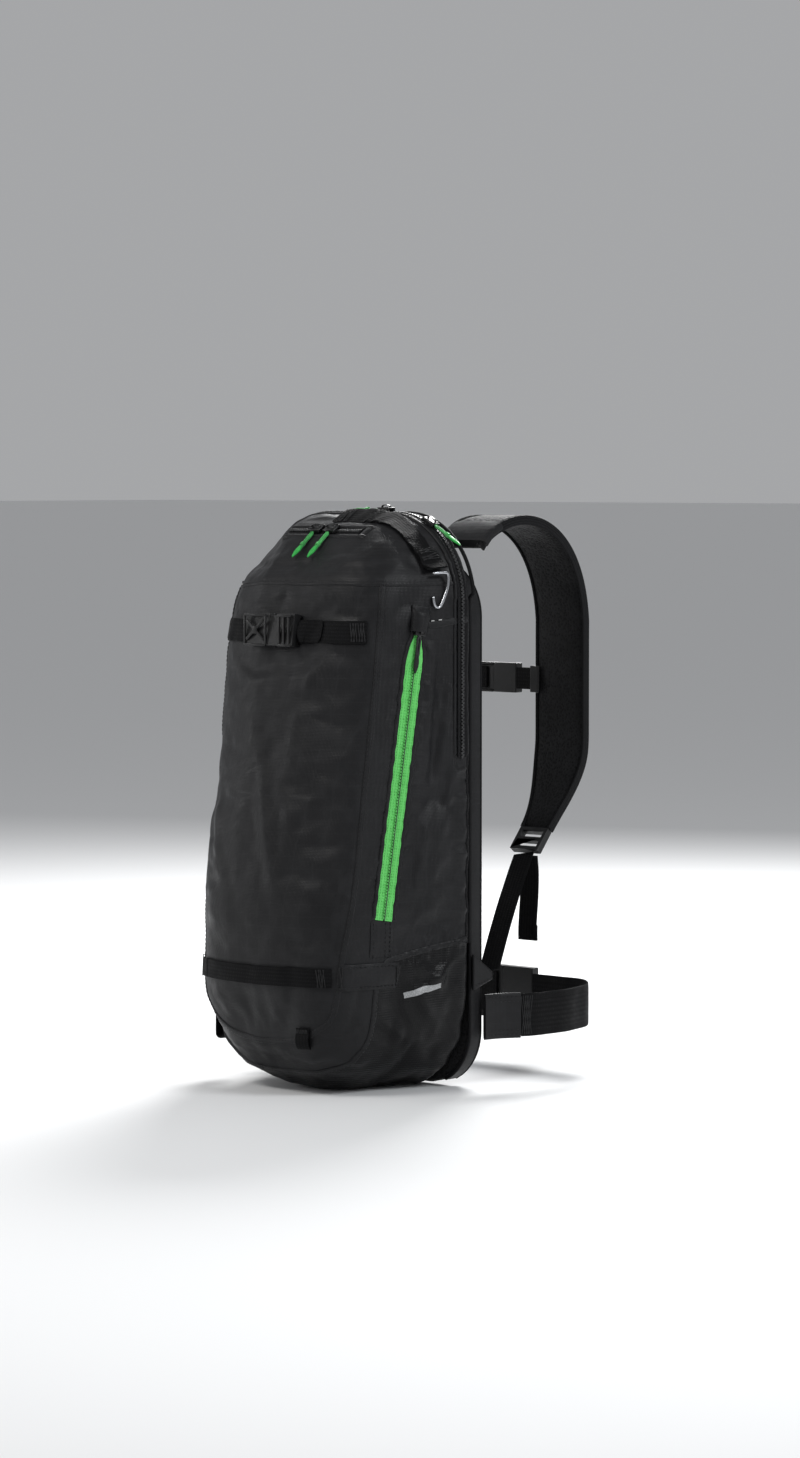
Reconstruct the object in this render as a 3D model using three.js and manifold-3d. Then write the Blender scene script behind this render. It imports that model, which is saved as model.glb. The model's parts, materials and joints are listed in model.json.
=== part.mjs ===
// Ski backpack in millimetres. +Z is up, -Y is the outer face, +Y is the wearer's side and +X is the
// wearer's right. The origin lies on the flat base that the bag stands on.
import * as THREE from 'three';
import { mergeVertices } from 'three/addons/utils/BufferGeometryUtils.js';
import Module from 'manifold-3d';

const wasm = await Module();
wasm.setup();

// ---- Driving dimensions ----
const WALL = 3; // padded fabric of the bag's panels
const SEAM = 0.4; // gap between two pieces that touch
const BACK_Y = 75; // outer face of the back wall
const HALF_WIDTH = 117.5; // half of the bag's width at the back wall
const SIDE_TAPER = 0.25; // how much each side panel closes in per millimetre towards the front
const REAR_RADIUS = 8;
const FRONT_RADIUS = 50;
const SHOULDER_Z = 425; // where the rounded top starts
const SHOULDER_RADIUS = 75; // round of the top's two upper corners
const FRONT_LOW = { y: -78, z: 160 }; // lower end of the sloping front face
const FRONT_HIGH_Y = -37; // front face at SHOULDER_Z
const TOP_FRONT_Y = 42; // front edge of the flat on top
const TOP_RADIUS = 14; // plan radius of that flat's front corners
const TOP_PULL_IN = 3; // how far the back wall leans in at the very top

// The rounded underside, from the flat base up to the sloping front: how far each plan section
// stays inside the full one at its front, back and sides, and how much tighter its front corners are.
const UNDERSIDE = [
  { z: 0, front: 62, back: 3, side: 57.5, tighter: 20 },
  { z: 6, front: 50, back: 1, side: 43.5, tighter: 14 },
  { z: 18, front: 32, back: 0, side: 25.5, tighter: 8 },
  { z: 42, front: 15, back: 0, side: 9.5, tighter: 2 },
  { z: 80, front: 4, back: 0, side: 1.5, tighter: 0 },
];

// Cut planes hold the X direction: each goes through (y, z) and leans by `lean` degrees from level.
const BASE_SEAM = { y: 0, z: 72, lean: 33 };
const FRONT_SEAM = { y: -32, z: 285, lean: 83 };
const TOP_SEAM_Z = SHOULDER_Z + 15;
const DIVIDER = { y: -12, z: 285, lean: 83, thickness: 1.2 };

const TAPE = 1.2; // thickness of a zip's tape
const COIL = { width: 4, height: 1.4 };
const SLIDER = { length: 13, width: 10, floor: 1, top: 5, channel: 5.2, headroom: 1.6 };
const PULL = { length: 32, width: 5, thickness: 1.6, lift: 3 };
const ARCH_ZIP = { y: 62, width: 10, bottom: 290 };
const POCKET_ZIP = { width: 10, halfLength: 42 };
const SIDE_ZIP = { width: 16, topY: 17.9, topZ: SHOULDER_Z - 23, bottomY: -18, bottomZ: 146, spare: 14 };
const ZIP_PATCH = { length: 12, width: 22, thickness: 1.5 };
const POCKET_SLIDER_X = 9;
const ARCH_SLIDER_X = 26;
const ARCH_SLIDER_ANGLE = 60; // degrees up the round corner, 90 is its top

const WEBBING = 1.6; // thickness of all webbing
const FRONT_STRAP = { z: SHOULDER_Z - 26, width: 20 };
const LOWER_STRAP = { z: 102, width: 16, reach: HALF_WIDTH - 62.5 };
const SLEEVE = { z: 103, width: 26, thickness: 3, start: LOWER_STRAP.reach + 1 };
const TOOL_LOOP = { z: 52, height: 18, start: HALF_WIDTH - 77.5, width: 14, thickness: 2.4 };
const SKI_STRAP = { y: 36, width: 22, start: -6, bottom: SHOULDER_Z + 27 };

const FRONT_BUCKLE = { x: -8, length: 58, width: 28 };
const STERNUM_BUCKLE = { length: 54, width: 27 };
const HIP_BUCKLE = { length: 70, width: 48 };
const BUCKLE = { lift: 0.8, height: 9, wall: 2.2, end: 7, arm: 4, play: 0.4, tongue: 5 };

const PAD = {
  thickness: 17.6, half: HALF_WIDTH - 5.5, bottom: 0, top: SHOULDER_Z + 35, cornerTop: 50, cornerBottom: 48,
};
const PAD_FACE_Y = BACK_Y + SEAM + PAD.thickness;
const LUMBAR = { half: 78, bottom: 40, top: 112, thickness: 7, corner: 20 };
const SHEET = { half: HALF_WIDTH - 25.5, bottom: 60, top: SHOULDER_Z + 30, thickness: 1.5 };

const STRAP = {
  x: 82, width: 56, thickness: 9, chestY: PAD_FACE_Y + 142, rootZ: SHOULDER_Z + 45, straightTop: SHOULDER_Z - 21,
  straightBottom: SHOULDER_Z - 125, endY: PAD_FACE_Y + 107, endZ: SHOULDER_Z - 207,
};
const LOCK = { width: 32, length: 24, thickness: 7, slot: 24, bar: 4 };
const LOWER_WEB = { width: 22, anchorX: PAD.half - 2, anchorY: PAD_FACE_Y + 10, anchorZ: 101 };
const TAIL = { length: 78, width: 22, stand: 2 };
const ANCHOR = { thickness: 3, startY: PAD_FACE_Y - 16.6, bottom: 86, top: 118, tip: 7 };
const STERNUM = { z: (STRAP.straightTop + STRAP.straightBottom) / 2 - 2, width: 20, clip: 24, wrap: 6, cheek: 2.4, web: 4 };
const HIP = {
  z: 62, width: 38, wing: 40, wingThickness: 3, frontY: PAD_FACE_Y + 156, rootX: PAD.half + 5.6,
  rootY: PAD_FACE_Y - 5, spread: 12.4, bulge: 16, wingReach: 34, frontHalf: 78,
};

const HAUL = { half: 26, y: PAD_FACE_Y - 3, width: 16, stand: 3.5, leg: 10.5, rise: 24 };
const HOOK = { wire: 3, width: 20, length: 28, opening: 9 };
const SKI_LOOP = { width: 25, top: 124, bottom: 34, gap: 7, y: 0, clear: 1 };
const TRI_GLIDE = { height: 12, wall: 2.6, z: 84 };

const MERGE = 1e-4;
const FAR = 4 * SHOULDER_Z; // larger than anything it cuts
const ARC_STEPS = 5; // faces round a front corner, and over each shoulder

// ---- Solids ----
const radians = THREE.MathUtils.degToRad;

// A closed three.js geometry as a solid that can be joined and cut.
function solidFrom(geometry) {
  const bare = geometry.clone();
  bare.deleteAttribute('normal');
  bare.deleteAttribute('uv');
  const merged = mergeVertices(bare, MERGE);
  const corners = Array.from(merged.index.array);
  const triVerts = [];
  for (let i = 0; i < corners.length; i += 3) {
    const [a, b, c] = corners.slice(i, i + 3);
    if (a !== b && b !== c && c !== a) triVerts.push(a, b, c);
  }
  return new wasm.Manifold(new wasm.Mesh({
    numProp: 3,
    vertProperties: merged.attributes.position.array,
    triVerts: new Uint32Array(triVerts),
  }));
}

// A solid as a flat-shaded three.js geometry.
function geometryFrom(solid) {
  const mesh = solid.getMesh();
  const geometry = new THREE.BufferGeometry();
  geometry.setAttribute('position', new THREE.BufferAttribute(mesh.vertProperties, 3));
  geometry.setIndex(new THREE.BufferAttribute(mesh.triVerts, 1));
  const flat = geometry.toNonIndexed();
  flat.computeVertexNormals();
  return flat;
}

// A box between two corners.
function block(low, high) {
  const size = high.map((value, axis) => value - low[axis]);
  const middle = high.map((value, axis) => (value + low[axis]) / 2);
  return solidFrom(new THREE.BoxGeometry(...size).translate(...middle));
}

// A straight bar from one point to another: `width` lies along the side direction.
function bar(from, to, width, thickness, side) {
  const along = to.clone().sub(from);
  const length = along.length();
  along.normalize();
  const face = along.clone().cross(side).normalize();
  const across = face.clone().cross(along);
  const place = new THREE.Matrix4().makeBasis(along, across, face);
  place.setPosition(from.clone().add(to).multiplyScalar(0.5));
  return solidFrom(new THREE.BoxGeometry(length, width, thickness).applyMatrix4(place));
}

// Everything past a cut plane, on the side that its normal points to, less half a seam.
function past({ y, z }, normalDegrees, clearance = SEAM / 2) {
  const box = new THREE.BoxGeometry(FAR, FAR, FAR);
  box.translate(0, FAR / 2 + clearance, 0);
  box.rotateX(radians(normalDegrees));
  box.translate(0, y, z);
  return solidFrom(box);
}
const above = (plane) => past(plane, plane.lean + 90);
const below = (plane) => past(plane, plane.lean - 90);
const inFrontOf = (y) => past({ y, z: 0 }, 180);
const behind = (y) => past({ y, z: 0 }, 0);
const higherThan = (z) => past({ y: 0, z }, 90);
const lowerThan = (z) => past({ y: 0, z }, -90);
const rightOf = (x) => block([x, -FAR, -FAR], [FAR, FAR, FAR]);
const leftOf = (x) => block([-FAR, -FAR, -FAR], [x, FAR, FAR]);
const level = (z, width) => block([-FAR, -FAR, z - width / 2], [FAR, FAR, z + width / 2]);
const upright = (y, width) => block([-FAR, y - width / 2, -FAR], [FAR, y + width / 2, FAR]);

// A ribbon of even thickness along a flat path, as an outline.
function ribbonShape(points, thickness) {
  const sides = [[], []];
  points.forEach((point, i) => {
    const before = points[Math.max(i - 1, 0)];
    const after = points[Math.min(i + 1, points.length - 1)];
    const offset = after.clone().sub(before).normalize().rotateAround(new THREE.Vector2(), Math.PI / 2);
    sides[0].push(point.clone().addScaledVector(offset, -thickness / 2));
    sides[1].unshift(point.clone().addScaledVector(offset, thickness / 2));
  });
  return new THREE.Shape([...sides[0], ...sides[1]]);
}

const extruded = (shape, depth) => new THREE.ExtrudeGeometry(shape, { depth, bevelEnabled: false });

// A ribbon whose path lies in the YZ plane, centred on x.
function sideRibbon(points, thickness, x, width) {
  const geometry = extruded(ribbonShape(points, thickness), width);
  geometry.rotateX(Math.PI / 2).rotateZ(Math.PI / 2);
  return solidFrom(geometry.translate(x - width / 2, 0, 0));
}

// A ribbon whose path lies in the XY plane, centred on z.
function planRibbon(points, thickness, z, width) {
  return solidFrom(extruded(ribbonShape(points, thickness), width).translate(0, 0, z - width / 2));
}

// A ribbon whose path lies in the XZ plane, centred on y.
function frontRibbon(points, thickness, y, width) {
  const geometry = extruded(ribbonShape(points, thickness), width).rotateX(Math.PI / 2);
  return solidFrom(geometry.translate(0, y + width / 2, 0));
}

// An upright plate with round corners whose outer face looks along +Y.
function roundedPlate({ half, bottom, top, cornerTop, cornerBottom }, y, thickness) {
  const shape = new THREE.Shape();
  shape.absarc(half - cornerBottom, bottom + cornerBottom, cornerBottom, -Math.PI / 2, 0);
  shape.absarc(half - cornerTop, top - cornerTop, cornerTop, 0, Math.PI / 2);
  shape.absarc(cornerTop - half, top - cornerTop, cornerTop, Math.PI / 2, Math.PI);
  shape.absarc(cornerBottom - half, bottom + cornerBottom, cornerBottom, Math.PI, 1.5 * Math.PI);
  const geometry = new THREE.ExtrudeGeometry(shape, { depth: thickness, bevelEnabled: false, curveSegments: 3 });
  return solidFrom(geometry.rotateX(Math.PI / 2).translate(0, y + thickness, 0));
}

// ---- The bag's own shape ----
const sideX = (y) => HALF_WIDTH - SIDE_TAPER * (BACK_Y - y);
const sideSlope = Math.atan(SIDE_TAPER);
const archRadiusX = HALF_WIDTH - SHOULDER_RADIUS - SIDE_TAPER * (BACK_Y - ARCH_ZIP.y);
const TOP_Z = SHOULDER_Z + SHOULDER_RADIUS;

// Plan sections of the rounded top: an arc seen from the front, and a steepening crown from the side.
function crownSection(step) {
  const angle = (step / (ARC_STEPS + 1)) * (Math.PI / 2);
  const fade = Math.cos(angle) ** 2;
  return {
    z: SHOULDER_Z + SHOULDER_RADIUS * Math.sin(angle),
    front: TOP_FRONT_Y + (FRONT_HIGH_Y - TOP_FRONT_Y) * fade,
    back: BACK_Y - TOP_PULL_IN * (1 - Math.cos(angle)),
    half: HALF_WIDTH - SHOULDER_RADIUS * (1 - Math.cos(angle)),
    radius: TOP_RADIUS + (FRONT_RADIUS - TOP_RADIUS) * fade,
  };
}
const crown = Array.from({ length: ARC_STEPS + 2 }, (_, step) => crownSection(step));
const fullSection = { z: FRONT_LOW.z, front: 0, back: 0, side: 0, tighter: 0 };
const underside = [...UNDERSIDE, fullSection].map(({ z, front, back, side, tighter }) => ({
  z,
  front: FRONT_LOW.y + front,
  back: BACK_Y - back,
  half: HALF_WIDTH - side,
  radius: FRONT_RADIUS - tighter,
}));
const sections = [...underside, ...crown];

// One plan section as a ring of points, counter-clockwise from above, `grow` larger all round.
function ringOf({ z, front, back, half, radius }, grow) {
  const corner = (side, y, r, from, to, steps) => {
    const x = half - SIDE_TAPER * (back - y) - r * Math.hypot(1, SIDE_TAPER);
    const arc = new THREE.EllipseCurve(side * x, y, r + grow, r + grow, from, to);
    return arc.getPoints(steps).map((point) => new THREE.Vector3(point.x, point.y, z));
  };
  const quarter = Math.PI / 2;
  const rear = [back - REAR_RADIUS, REAR_RADIUS];
  const fore = [front + radius, radius];
  return [
    ...corner(1, ...fore, -quarter, -sideSlope, ARC_STEPS),
    ...corner(1, ...rear, -sideSlope, quarter, 2),
    ...corner(-1, ...rear, quarter, Math.PI + sideSlope, 2),
    ...corner(-1, ...fore, Math.PI + sideSlope, 3 * quarter, ARC_STEPS),
  ];
}

// A closed solid through level rings of points: a cylinder whose rows are moved onto them.
function loft(rings) {
  const rows = rings.length - 1;
  const sides = rings[0].length;
  const geometry = new THREE.CylinderGeometry(1, 1, rows, sides, rows);
  const vertices = geometry.getAttribute('position');
  for (let i = 0; i < vertices.count; i += 1) {
    const ring = rings[Math.round(vertices.getY(i) + rows / 2)];
    const [x, z] = [vertices.getX(i), vertices.getZ(i)];
    const turn = Math.round((Math.atan2(x, z) / (2 * Math.PI)) * sides + sides) % sides;
    const middle = ring.reduce((sum, point) => sum.add(point), new THREE.Vector3()).divideScalar(sides);
    const place = Math.hypot(x, z) < 0.5 ? middle : ring[turn];
    vertices.setXYZ(i, place.x, place.y, place.z);
  }
  return solidFrom(geometry);
}

// The whole bag's outer form, grown outwards or, with a minus, inwards.
function bagForm(grow) {
  const last = sections.length - 1;
  return loft(sections.map((section, i) => {
    const lift = (i === last ? grow : 0) - (i === 0 ? grow : 0);
    return ringOf({ ...section, z: section.z + lift }, grow);
  }));
}
const bag = bagForm(0);
const bagInside = bagForm(-WALL);
const shell = bag.subtract(bagInside);
const layer = (from, to) => bagForm(to).subtract(bagForm(from));
const strapLayer = layer(SEAM, SEAM + WEBBING);

// ---- The scene ----
const pack = new THREE.Group();
pack.name = 'ski_backpack';

const FINISH = {
  shell: { color: 0x232325, roughness: 0.82, metalness: 0 },
  gloss: { color: 0x1e1e20, roughness: 0.55, metalness: 0 },
  webbing: { color: 0x18181a, roughness: 0.75, metalness: 0 },
  green: { color: 0x3da048, roughness: 0.7, metalness: 0 },
  plastic: { color: 0x101012, roughness: 0.38, metalness: 0 },
  foam: { color: 0x1b1b1d, roughness: 0.9, metalness: 0 },
  sheet: { color: 0x8d8f92, roughness: 0.5, metalness: 0 },
  steel: { color: 0xb9bcc0, roughness: 0.28, metalness: 1 },
};

function add(name, solid, finish, parent = pack) {
  const mesh = new THREE.Mesh(geometryFrom(solid), new THREE.MeshStandardMaterial(FINISH[finish]));
  mesh.name = name;
  parent.add(mesh);
}

// A group whose own axes are along, across and out of a surface, at a point of it.
function frameAt(point, along, out) {
  const group = new THREE.Group();
  group.applyMatrix4(new THREE.Matrix4().makeBasis(along, out.clone().cross(along), out).setPosition(point));
  pack.add(group);
  return group;
}

// ---- Zips ----
const point3 = (x, y, z) => new THREE.Vector3(x, y, z);
const unit = (x, y, z) => point3(x, y, z).normalize();

// The side zip's straight line down the flat right side.
const sideOut = unit(1, -SIDE_TAPER, 0);
const sideZipTop = point3(sideX(SIDE_ZIP.topY), SIDE_ZIP.topY, SIDE_ZIP.topZ);
const sideZipEnd = point3(sideX(SIDE_ZIP.bottomY), SIDE_ZIP.bottomY, SIDE_ZIP.bottomZ);
const sideZipAlong = sideZipTop.clone().sub(sideZipEnd).normalize();

// The pocket zip lies across the crown's facet between two sections.
const [pocketLow, pocketHigh] = [crown[3], crown[4]];
const pocketPoint = point3(0, (pocketLow.front + pocketHigh.front) / 2, (pocketLow.z + pocketHigh.z) / 2);
const pocketOut = unit(0, pocketLow.z - pocketHigh.z, pocketHigh.front - pocketLow.front);

// A box along a zip, `width` wide, that cuts its strip out of a skin.
function zipBox(middle, along, out, length, width) {
  const half = along.clone().multiplyScalar(length / 2);
  const depth = 8 * WALL;
  return bar(middle.clone().sub(half), middle.clone().add(half), width, depth, out.clone().cross(along));
}
const sideZipMiddle = sideZipTop.clone().add(sideZipEnd).divideScalar(2)
  .addScaledVector(sideZipAlong, SIDE_ZIP.spare / 2);
const sideZipLength = sideZipTop.distanceTo(sideZipEnd) + SIDE_ZIP.spare;
const sideZipBox = (width, length = sideZipLength) =>
  zipBox(sideZipMiddle, sideZipAlong, sideOut, length, width);
const pocketZipBox = (width, length = 2 * POCKET_ZIP.halfLength) =>
  zipBox(pocketPoint, unit(1, 0, 0), pocketOut, length, width);
const archZipBox = (width, bottom = ARCH_ZIP.bottom) =>
  upright(ARCH_ZIP.y, width).intersect(higherThan(bottom));

// A tape set into the skin, with the coil's low ridge along its middle.
const tapeSkin = layer(-TAPE, 0);
const coilSkin = layer(-TAPE, COIL.height);
const zip = (box, width) => tapeSkin.intersect(box(width)).add(coilSkin.intersect(box(COIL.width)));

function addZips() {
  add('side_zip_tape', zip(sideZipBox, SIDE_ZIP.width), 'green');
  add('pocket_zip_tape', zip(pocketZipBox, POCKET_ZIP.width), 'webbing');
  add('arch_zip_tape', zip(archZipBox, ARCH_ZIP.width), 'webbing');
}

// A slider that straddles the coil, in its own frame: x along the zip, z out of the fabric.
function addSlider(name, group) {
  const { length, width, floor, top, channel, headroom } = SLIDER;
  const body = block([-length / 2, -width / 2, floor], [length / 2, width / 2, top]);
  const groove = block([-length, -channel / 2, 0], [length, channel / 2, COIL.height + headroom]);
  add(name, body.subtract(groove), 'plastic', group);
}

// A cord pull that starts at a slider's edge and lies along `way`.
function addPull(name, root, way, out) {
  const start = root.clone().addScaledVector(out, PULL.lift);
  const end = start.clone().addScaledVector(way, PULL.length);
  add(name, bar(start, end, PULL.width, PULL.thickness, out.clone().cross(way)), 'green');
}

function addSliders() {
  const edge = SLIDER.length / 2 + SEAM;
  addSlider('side_zip_slider', frameAt(sideZipTop, sideZipAlong, sideOut));
  const down = sideZipAlong.clone().negate();
  addPull('side_zip_pull', sideZipTop.clone().addScaledVector(down, edge), down, sideOut);

  const downhill = unit(0, crown[2].front - crown[3].front, crown[2].z - crown[3].z);
  const downhillOut = unit(0, downhill.z, -downhill.y);
  const halfWidth = SLIDER.width / 2 + 1;
  for (const [side, mark] of [[-1, 'left'], [1, 'right']]) {
    const place = pocketPoint.clone().setX(side * POCKET_SLIDER_X);
    addSlider(`pocket_zip_slider_${mark}`, frameAt(place, unit(1, 0, 0), pocketOut));
    const downSlope = unit(0, pocketOut.z, -pocketOut.y).negate();
    addPull(`pocket_zip_pull_${mark}`, place.addScaledVector(downSlope, halfWidth), downhill, downhillOut);
  }

  const flat = point3(ARCH_SLIDER_X, ARCH_ZIP.y, TOP_Z);
  addSlider('arch_zip_slider_left', frameAt(flat, unit(1, 0, 0), unit(0, 0, 1)));
  addPull('arch_zip_pull_left', flat.clone().setX(ARCH_SLIDER_X - edge), unit(-1, 0, 0), unit(0, 0, 1));
  const angle = radians(ARCH_SLIDER_ANGLE);
  const round = unit(Math.cos(angle), 0, Math.sin(angle));
  const onRound = point3(archRadiusX, ARCH_ZIP.y, SHOULDER_Z).addScaledVector(round, SHOULDER_RADIUS);
  const onward = unit(round.z, 0, -round.x);
  addSlider('arch_zip_slider_right', frameAt(onRound, onward, round));
  addPull('arch_zip_pull_right', onRound.clone().addScaledVector(onward, edge), onward, round);
}

// ---- Panels ----
function addPanels() {
  const body = shell.intersect(above(BASE_SEAM));
  const archSlot = archZipBox(ARCH_ZIP.width + 2 * SEAM, ARCH_ZIP.bottom - SEAM);
  const rearEdge = ARCH_ZIP.y + ARCH_ZIP.width / 2 + SEAM / 2;
  const middle = body.intersect(inFrontOf(rearEdge)).subtract(archSlot);
  const lower = middle.intersect(lowerThan(TOP_SEAM_Z));
  const sides = lower.intersect(past(FRONT_SEAM, FRONT_SEAM.lean - 90));
  const sideSlot = sideZipBox(SIDE_ZIP.width + 2 * SEAM, sideZipLength + 2 * SEAM);
  const pocketSlot = pocketZipBox(POCKET_ZIP.width + 2 * SEAM, 2 * (POCKET_ZIP.halfLength + SEAM));
  add('base_panel', shell.intersect(below(BASE_SEAM)), 'gloss');
  add('back_wall', body.intersect(behind(rearEdge)), 'shell');
  add('front_panel', lower.intersect(past(FRONT_SEAM, FRONT_SEAM.lean + 90)), 'shell');
  add('top_panel', middle.intersect(higherThan(TOP_SEAM_Z)).subtract(pocketSlot), 'shell');
  add('side_panel_right', sides.intersect(rightOf(0)).subtract(sideSlot), 'shell');
  add('side_panel_left', sides.intersect(leftOf(0)), 'shell');
}

// Flat pieces inside the bag.
function addInsides() {
  const room = bagForm(-WALL - SEAM);
  const halfSheet = DIVIDER.thickness / 2;
  const divider = room.intersect(past(DIVIDER, DIVIDER.lean - 90, -halfSheet))
    .intersect(past(DIVIDER, DIVIDER.lean + 90, -halfSheet));
  add('pocket_divider', divider.intersect(lowerThan(TOP_SEAM_Z)), 'foam');
  const sheetY = BACK_Y - WALL - SEAM - SHEET.thickness;
  const sheet = block([-SHEET.half, sheetY, SHEET.bottom], [SHEET.half, sheetY + SHEET.thickness, SHEET.top]);
  add('frame_sheet', sheet, 'sheet');
}

// ---- Side-release buckles ----
// In a buckle's own frame the strap runs along x and z points away from what it lies on.
// The female half is at -x. The male half is at +x, and its webbing runs beneath its base.
const webbingClear = SEAM + WEBBING + BUCKLE.play;

function femaleHalf({ length, width }) {
  const inner = width / 2 - BUCKLE.wall;
  const floor = BUCKLE.lift + BUCKLE.wall;
  const roof = BUCKLE.lift + BUCKLE.height - BUCKLE.wall;
  const body = block([-length / 2, -width / 2, BUCKLE.lift], [0, width / 2, BUCKLE.lift + BUCKLE.height]);
  return body.subtract(block([BUCKLE.end - length / 2, -inner, floor], [length, inner, roof]));
}

function maleHalf({ length, width }) {
  const inner = width / 2 - BUCKLE.wall - BUCKLE.play;
  const floor = BUCKLE.lift + BUCKLE.wall + BUCKLE.play;
  const roof = BUCKLE.lift + BUCKLE.height - BUCKLE.wall - BUCKLE.play;
  const tip = BUCKLE.end - length / 2 + 2 * BUCKLE.play;
  const root = BUCKLE.end;
  const webSlot = width / 2 - BUCKLE.wall;
  const base = block([SEAM, -width / 2, SEAM], [length / 2, width / 2, BUCKLE.lift + BUCKLE.height]);
  const channel = block([-length, -webSlot, -1], [length, webSlot, webbingClear]);
  const arm = (side) => block(
    [tip, side > 0 ? inner - BUCKLE.arm : -inner, floor],
    [root, side > 0 ? inner : BUCKLE.arm - inner, roof],
  );
  const tongue = block([tip / 2, -BUCKLE.tongue / 2, floor], [root, BUCKLE.tongue / 2, roof]);
  return base.subtract(channel).add(arm(1)).add(arm(-1)).add(tongue);
}

function addBuckle(name, size, group) {
  add(`${name}_buckle_female`, femaleHalf(size), 'plastic', group);
  add(`${name}_buckle_male`, maleHalf(size), 'plastic', group);
}

// ---- Straps on the bag ----
function addFrontStrap() {
  const { x, length } = FRONT_BUCKLE;
  const band = strapLayer.intersect(level(FRONT_STRAP.z, FRONT_STRAP.width))
    .intersect(past(FRONT_SEAM, FRONT_SEAM.lean + 90));
  add('front_strap_left', band.intersect(leftOf(x - length / 2 - SEAM)), 'webbing');
  add('front_strap_right', band.intersect(rightOf(x + BUCKLE.end)), 'webbing');
  const rise = unit(0, FRONT_HIGH_Y - FRONT_LOW.y, SHOULDER_Z - FRONT_LOW.z);
  const out = unit(0, -rise.z, rise.y);
  const faceY = FRONT_LOW.y + ((FRONT_STRAP.z - FRONT_LOW.z) * rise.y) / rise.z;
  const group = frameAt(point3(x, faceY, FRONT_STRAP.z).addScaledVector(out, SEAM), unit(1, 0, 0), out);
  addBuckle('front', FRONT_BUCKLE, group);
}

function addLowerStrap() {
  const front = past(FRONT_SEAM, FRONT_SEAM.lean + 90);
  const band = strapLayer.intersect(level(LOWER_STRAP.z, LOWER_STRAP.width)).intersect(front);
  add('lower_strap', band.intersect(block([-LOWER_STRAP.reach, -FAR, 0], [LOWER_STRAP.reach, 0, FAR])), 'webbing');
  const sleeve = layer(SEAM, SEAM + SLEEVE.thickness).intersect(level(SLEEVE.z, SLEEVE.width)).intersect(front);
  add('strap_sleeve_right', sleeve.intersect(rightOf(SLEEVE.start)), 'shell');
  add('strap_sleeve_left', sleeve.intersect(leftOf(-SLEEVE.start)), 'shell');
  const { z, height, start, width, thickness } = TOOL_LOOP;
  const loop = layer(SEAM, SEAM + thickness).intersect(level(z, height));
  add('tool_loop', loop.intersect(block([start, -FAR, 0], [start + width, 0, FAR])), 'webbing');
}

// The zip's lower end is covered by a small sewn patch.
function addZipPatch() {
  const down = sideZipAlong.clone().negate();
  const start = sideZipEnd.clone().addScaledVector(sideOut, SEAM + ZIP_PATCH.thickness / 2)
    .addScaledVector(down, 1);
  const end = start.clone().addScaledVector(down, ZIP_PATCH.length);
  const plate = bar(start, end, 2 * ZIP_PATCH.width, 4 * ZIP_PATCH.thickness, sideOut.clone().cross(down));
  const skin = layer(SEAM, SEAM + ZIP_PATCH.thickness);
  const across = upright(SIDE_ZIP.bottomY, ZIP_PATCH.width);
  add('side_zip_patch', skin.intersect(plate).intersect(across).intersect(rightOf(0)), 'shell');
}

// A wire bent into a hook that hangs from the ski strap's end, on the flat of the side.
function addSkiStrap() {
  const band = strapLayer.intersect(upright(SKI_STRAP.y, SKI_STRAP.width))
    .intersect(rightOf(SKI_STRAP.start)).intersect(higherThan(SKI_STRAP.bottom))
    .intersect(higherThan(SHOULDER_Z));
  add('ski_strap', band, 'webbing');
  const half = HOOK.width / 2;
  const drop = HOOK.length;
  const outline = [
    [0, half - HOOK.wire], [0, -half], [-drop * 0.45, -half], [-drop, -HOOK.wire], [-drop - 2, 1],
    [-drop + 1, HOOK.wire + 1], [-drop + HOOK.opening, HOOK.wire + 2],
  ].map(([x, y]) => point3(x, y, 0));
  const path = new THREE.CatmullRomCurve3(outline, false, 'catmullrom', 0.25);
  const wire = new THREE.Shape().absarc(0, 0, HOOK.wire / 2, 0, 2 * Math.PI);
  const geometry = new THREE.ExtrudeGeometry(wire, { steps: 22, curveSegments: 4, extrudePath: path });
  const z = SKI_STRAP.bottom - SEAM - HOOK.wire / 2 - 1;
  const place = point3(sideX(SKI_STRAP.y), SKI_STRAP.y, z).addScaledVector(sideOut, HOOK.wire / 2 + 1);
  add('ski_hook', solidFrom(geometry), 'steel', frameAt(place, unit(0, 0, 1), sideOut));
}

// A closed webbing loop that hangs flat against the left side, with a tri-glide round both its legs.
function addLowerSkiLoop() {
  const reach = sideX(SKI_LOOP.y + SKI_LOOP.width / 2) + SKI_LOOP.clear;
  const group = frameAt(point3(-reach, SKI_LOOP.y, 0), unit(0, 0, 1), unit(-1, 0, 0));
  const outer = SKI_LOOP.gap / 2 + WEBBING;
  const ring = (radius) => {
    const shape = new THREE.Shape();
    shape.absarc(SKI_LOOP.top - outer, outer, radius, -Math.PI / 2, Math.PI / 2);
    shape.absarc(SKI_LOOP.bottom + outer, outer, radius, Math.PI / 2, 1.5 * Math.PI);
    const geometry = new THREE.ExtrudeGeometry(shape,
      { depth: SKI_LOOP.width, bevelEnabled: false, curveSegments: 6 });
    return solidFrom(geometry.rotateX(Math.PI / 2).translate(0, SKI_LOOP.width / 2, 0));
  };
  const hole = ring(SKI_LOOP.gap / 2).scale([1, 2, 1]);
  add('lower_ski_loop', ring(outer).subtract(hole), 'webbing', group);
  const { height, wall, z } = TRI_GLIDE;
  const half = SKI_LOOP.width / 2 + SEAM;
  const glide = block([z - height / 2, -half - wall, 2 * outer + SEAM], [z + height / 2, half + wall, 2 * outer + wall]);
  const legs = (side) => block(
    [z - height / 2, side > 0 ? half : -half - wall, SEAM],
    [z + height / 2, side > 0 ? half + wall : -half, 2 * outer + wall],
  );
  add('tri_glide', glide.add(legs(1)).add(legs(-1)), 'plastic', group);
}

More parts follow.
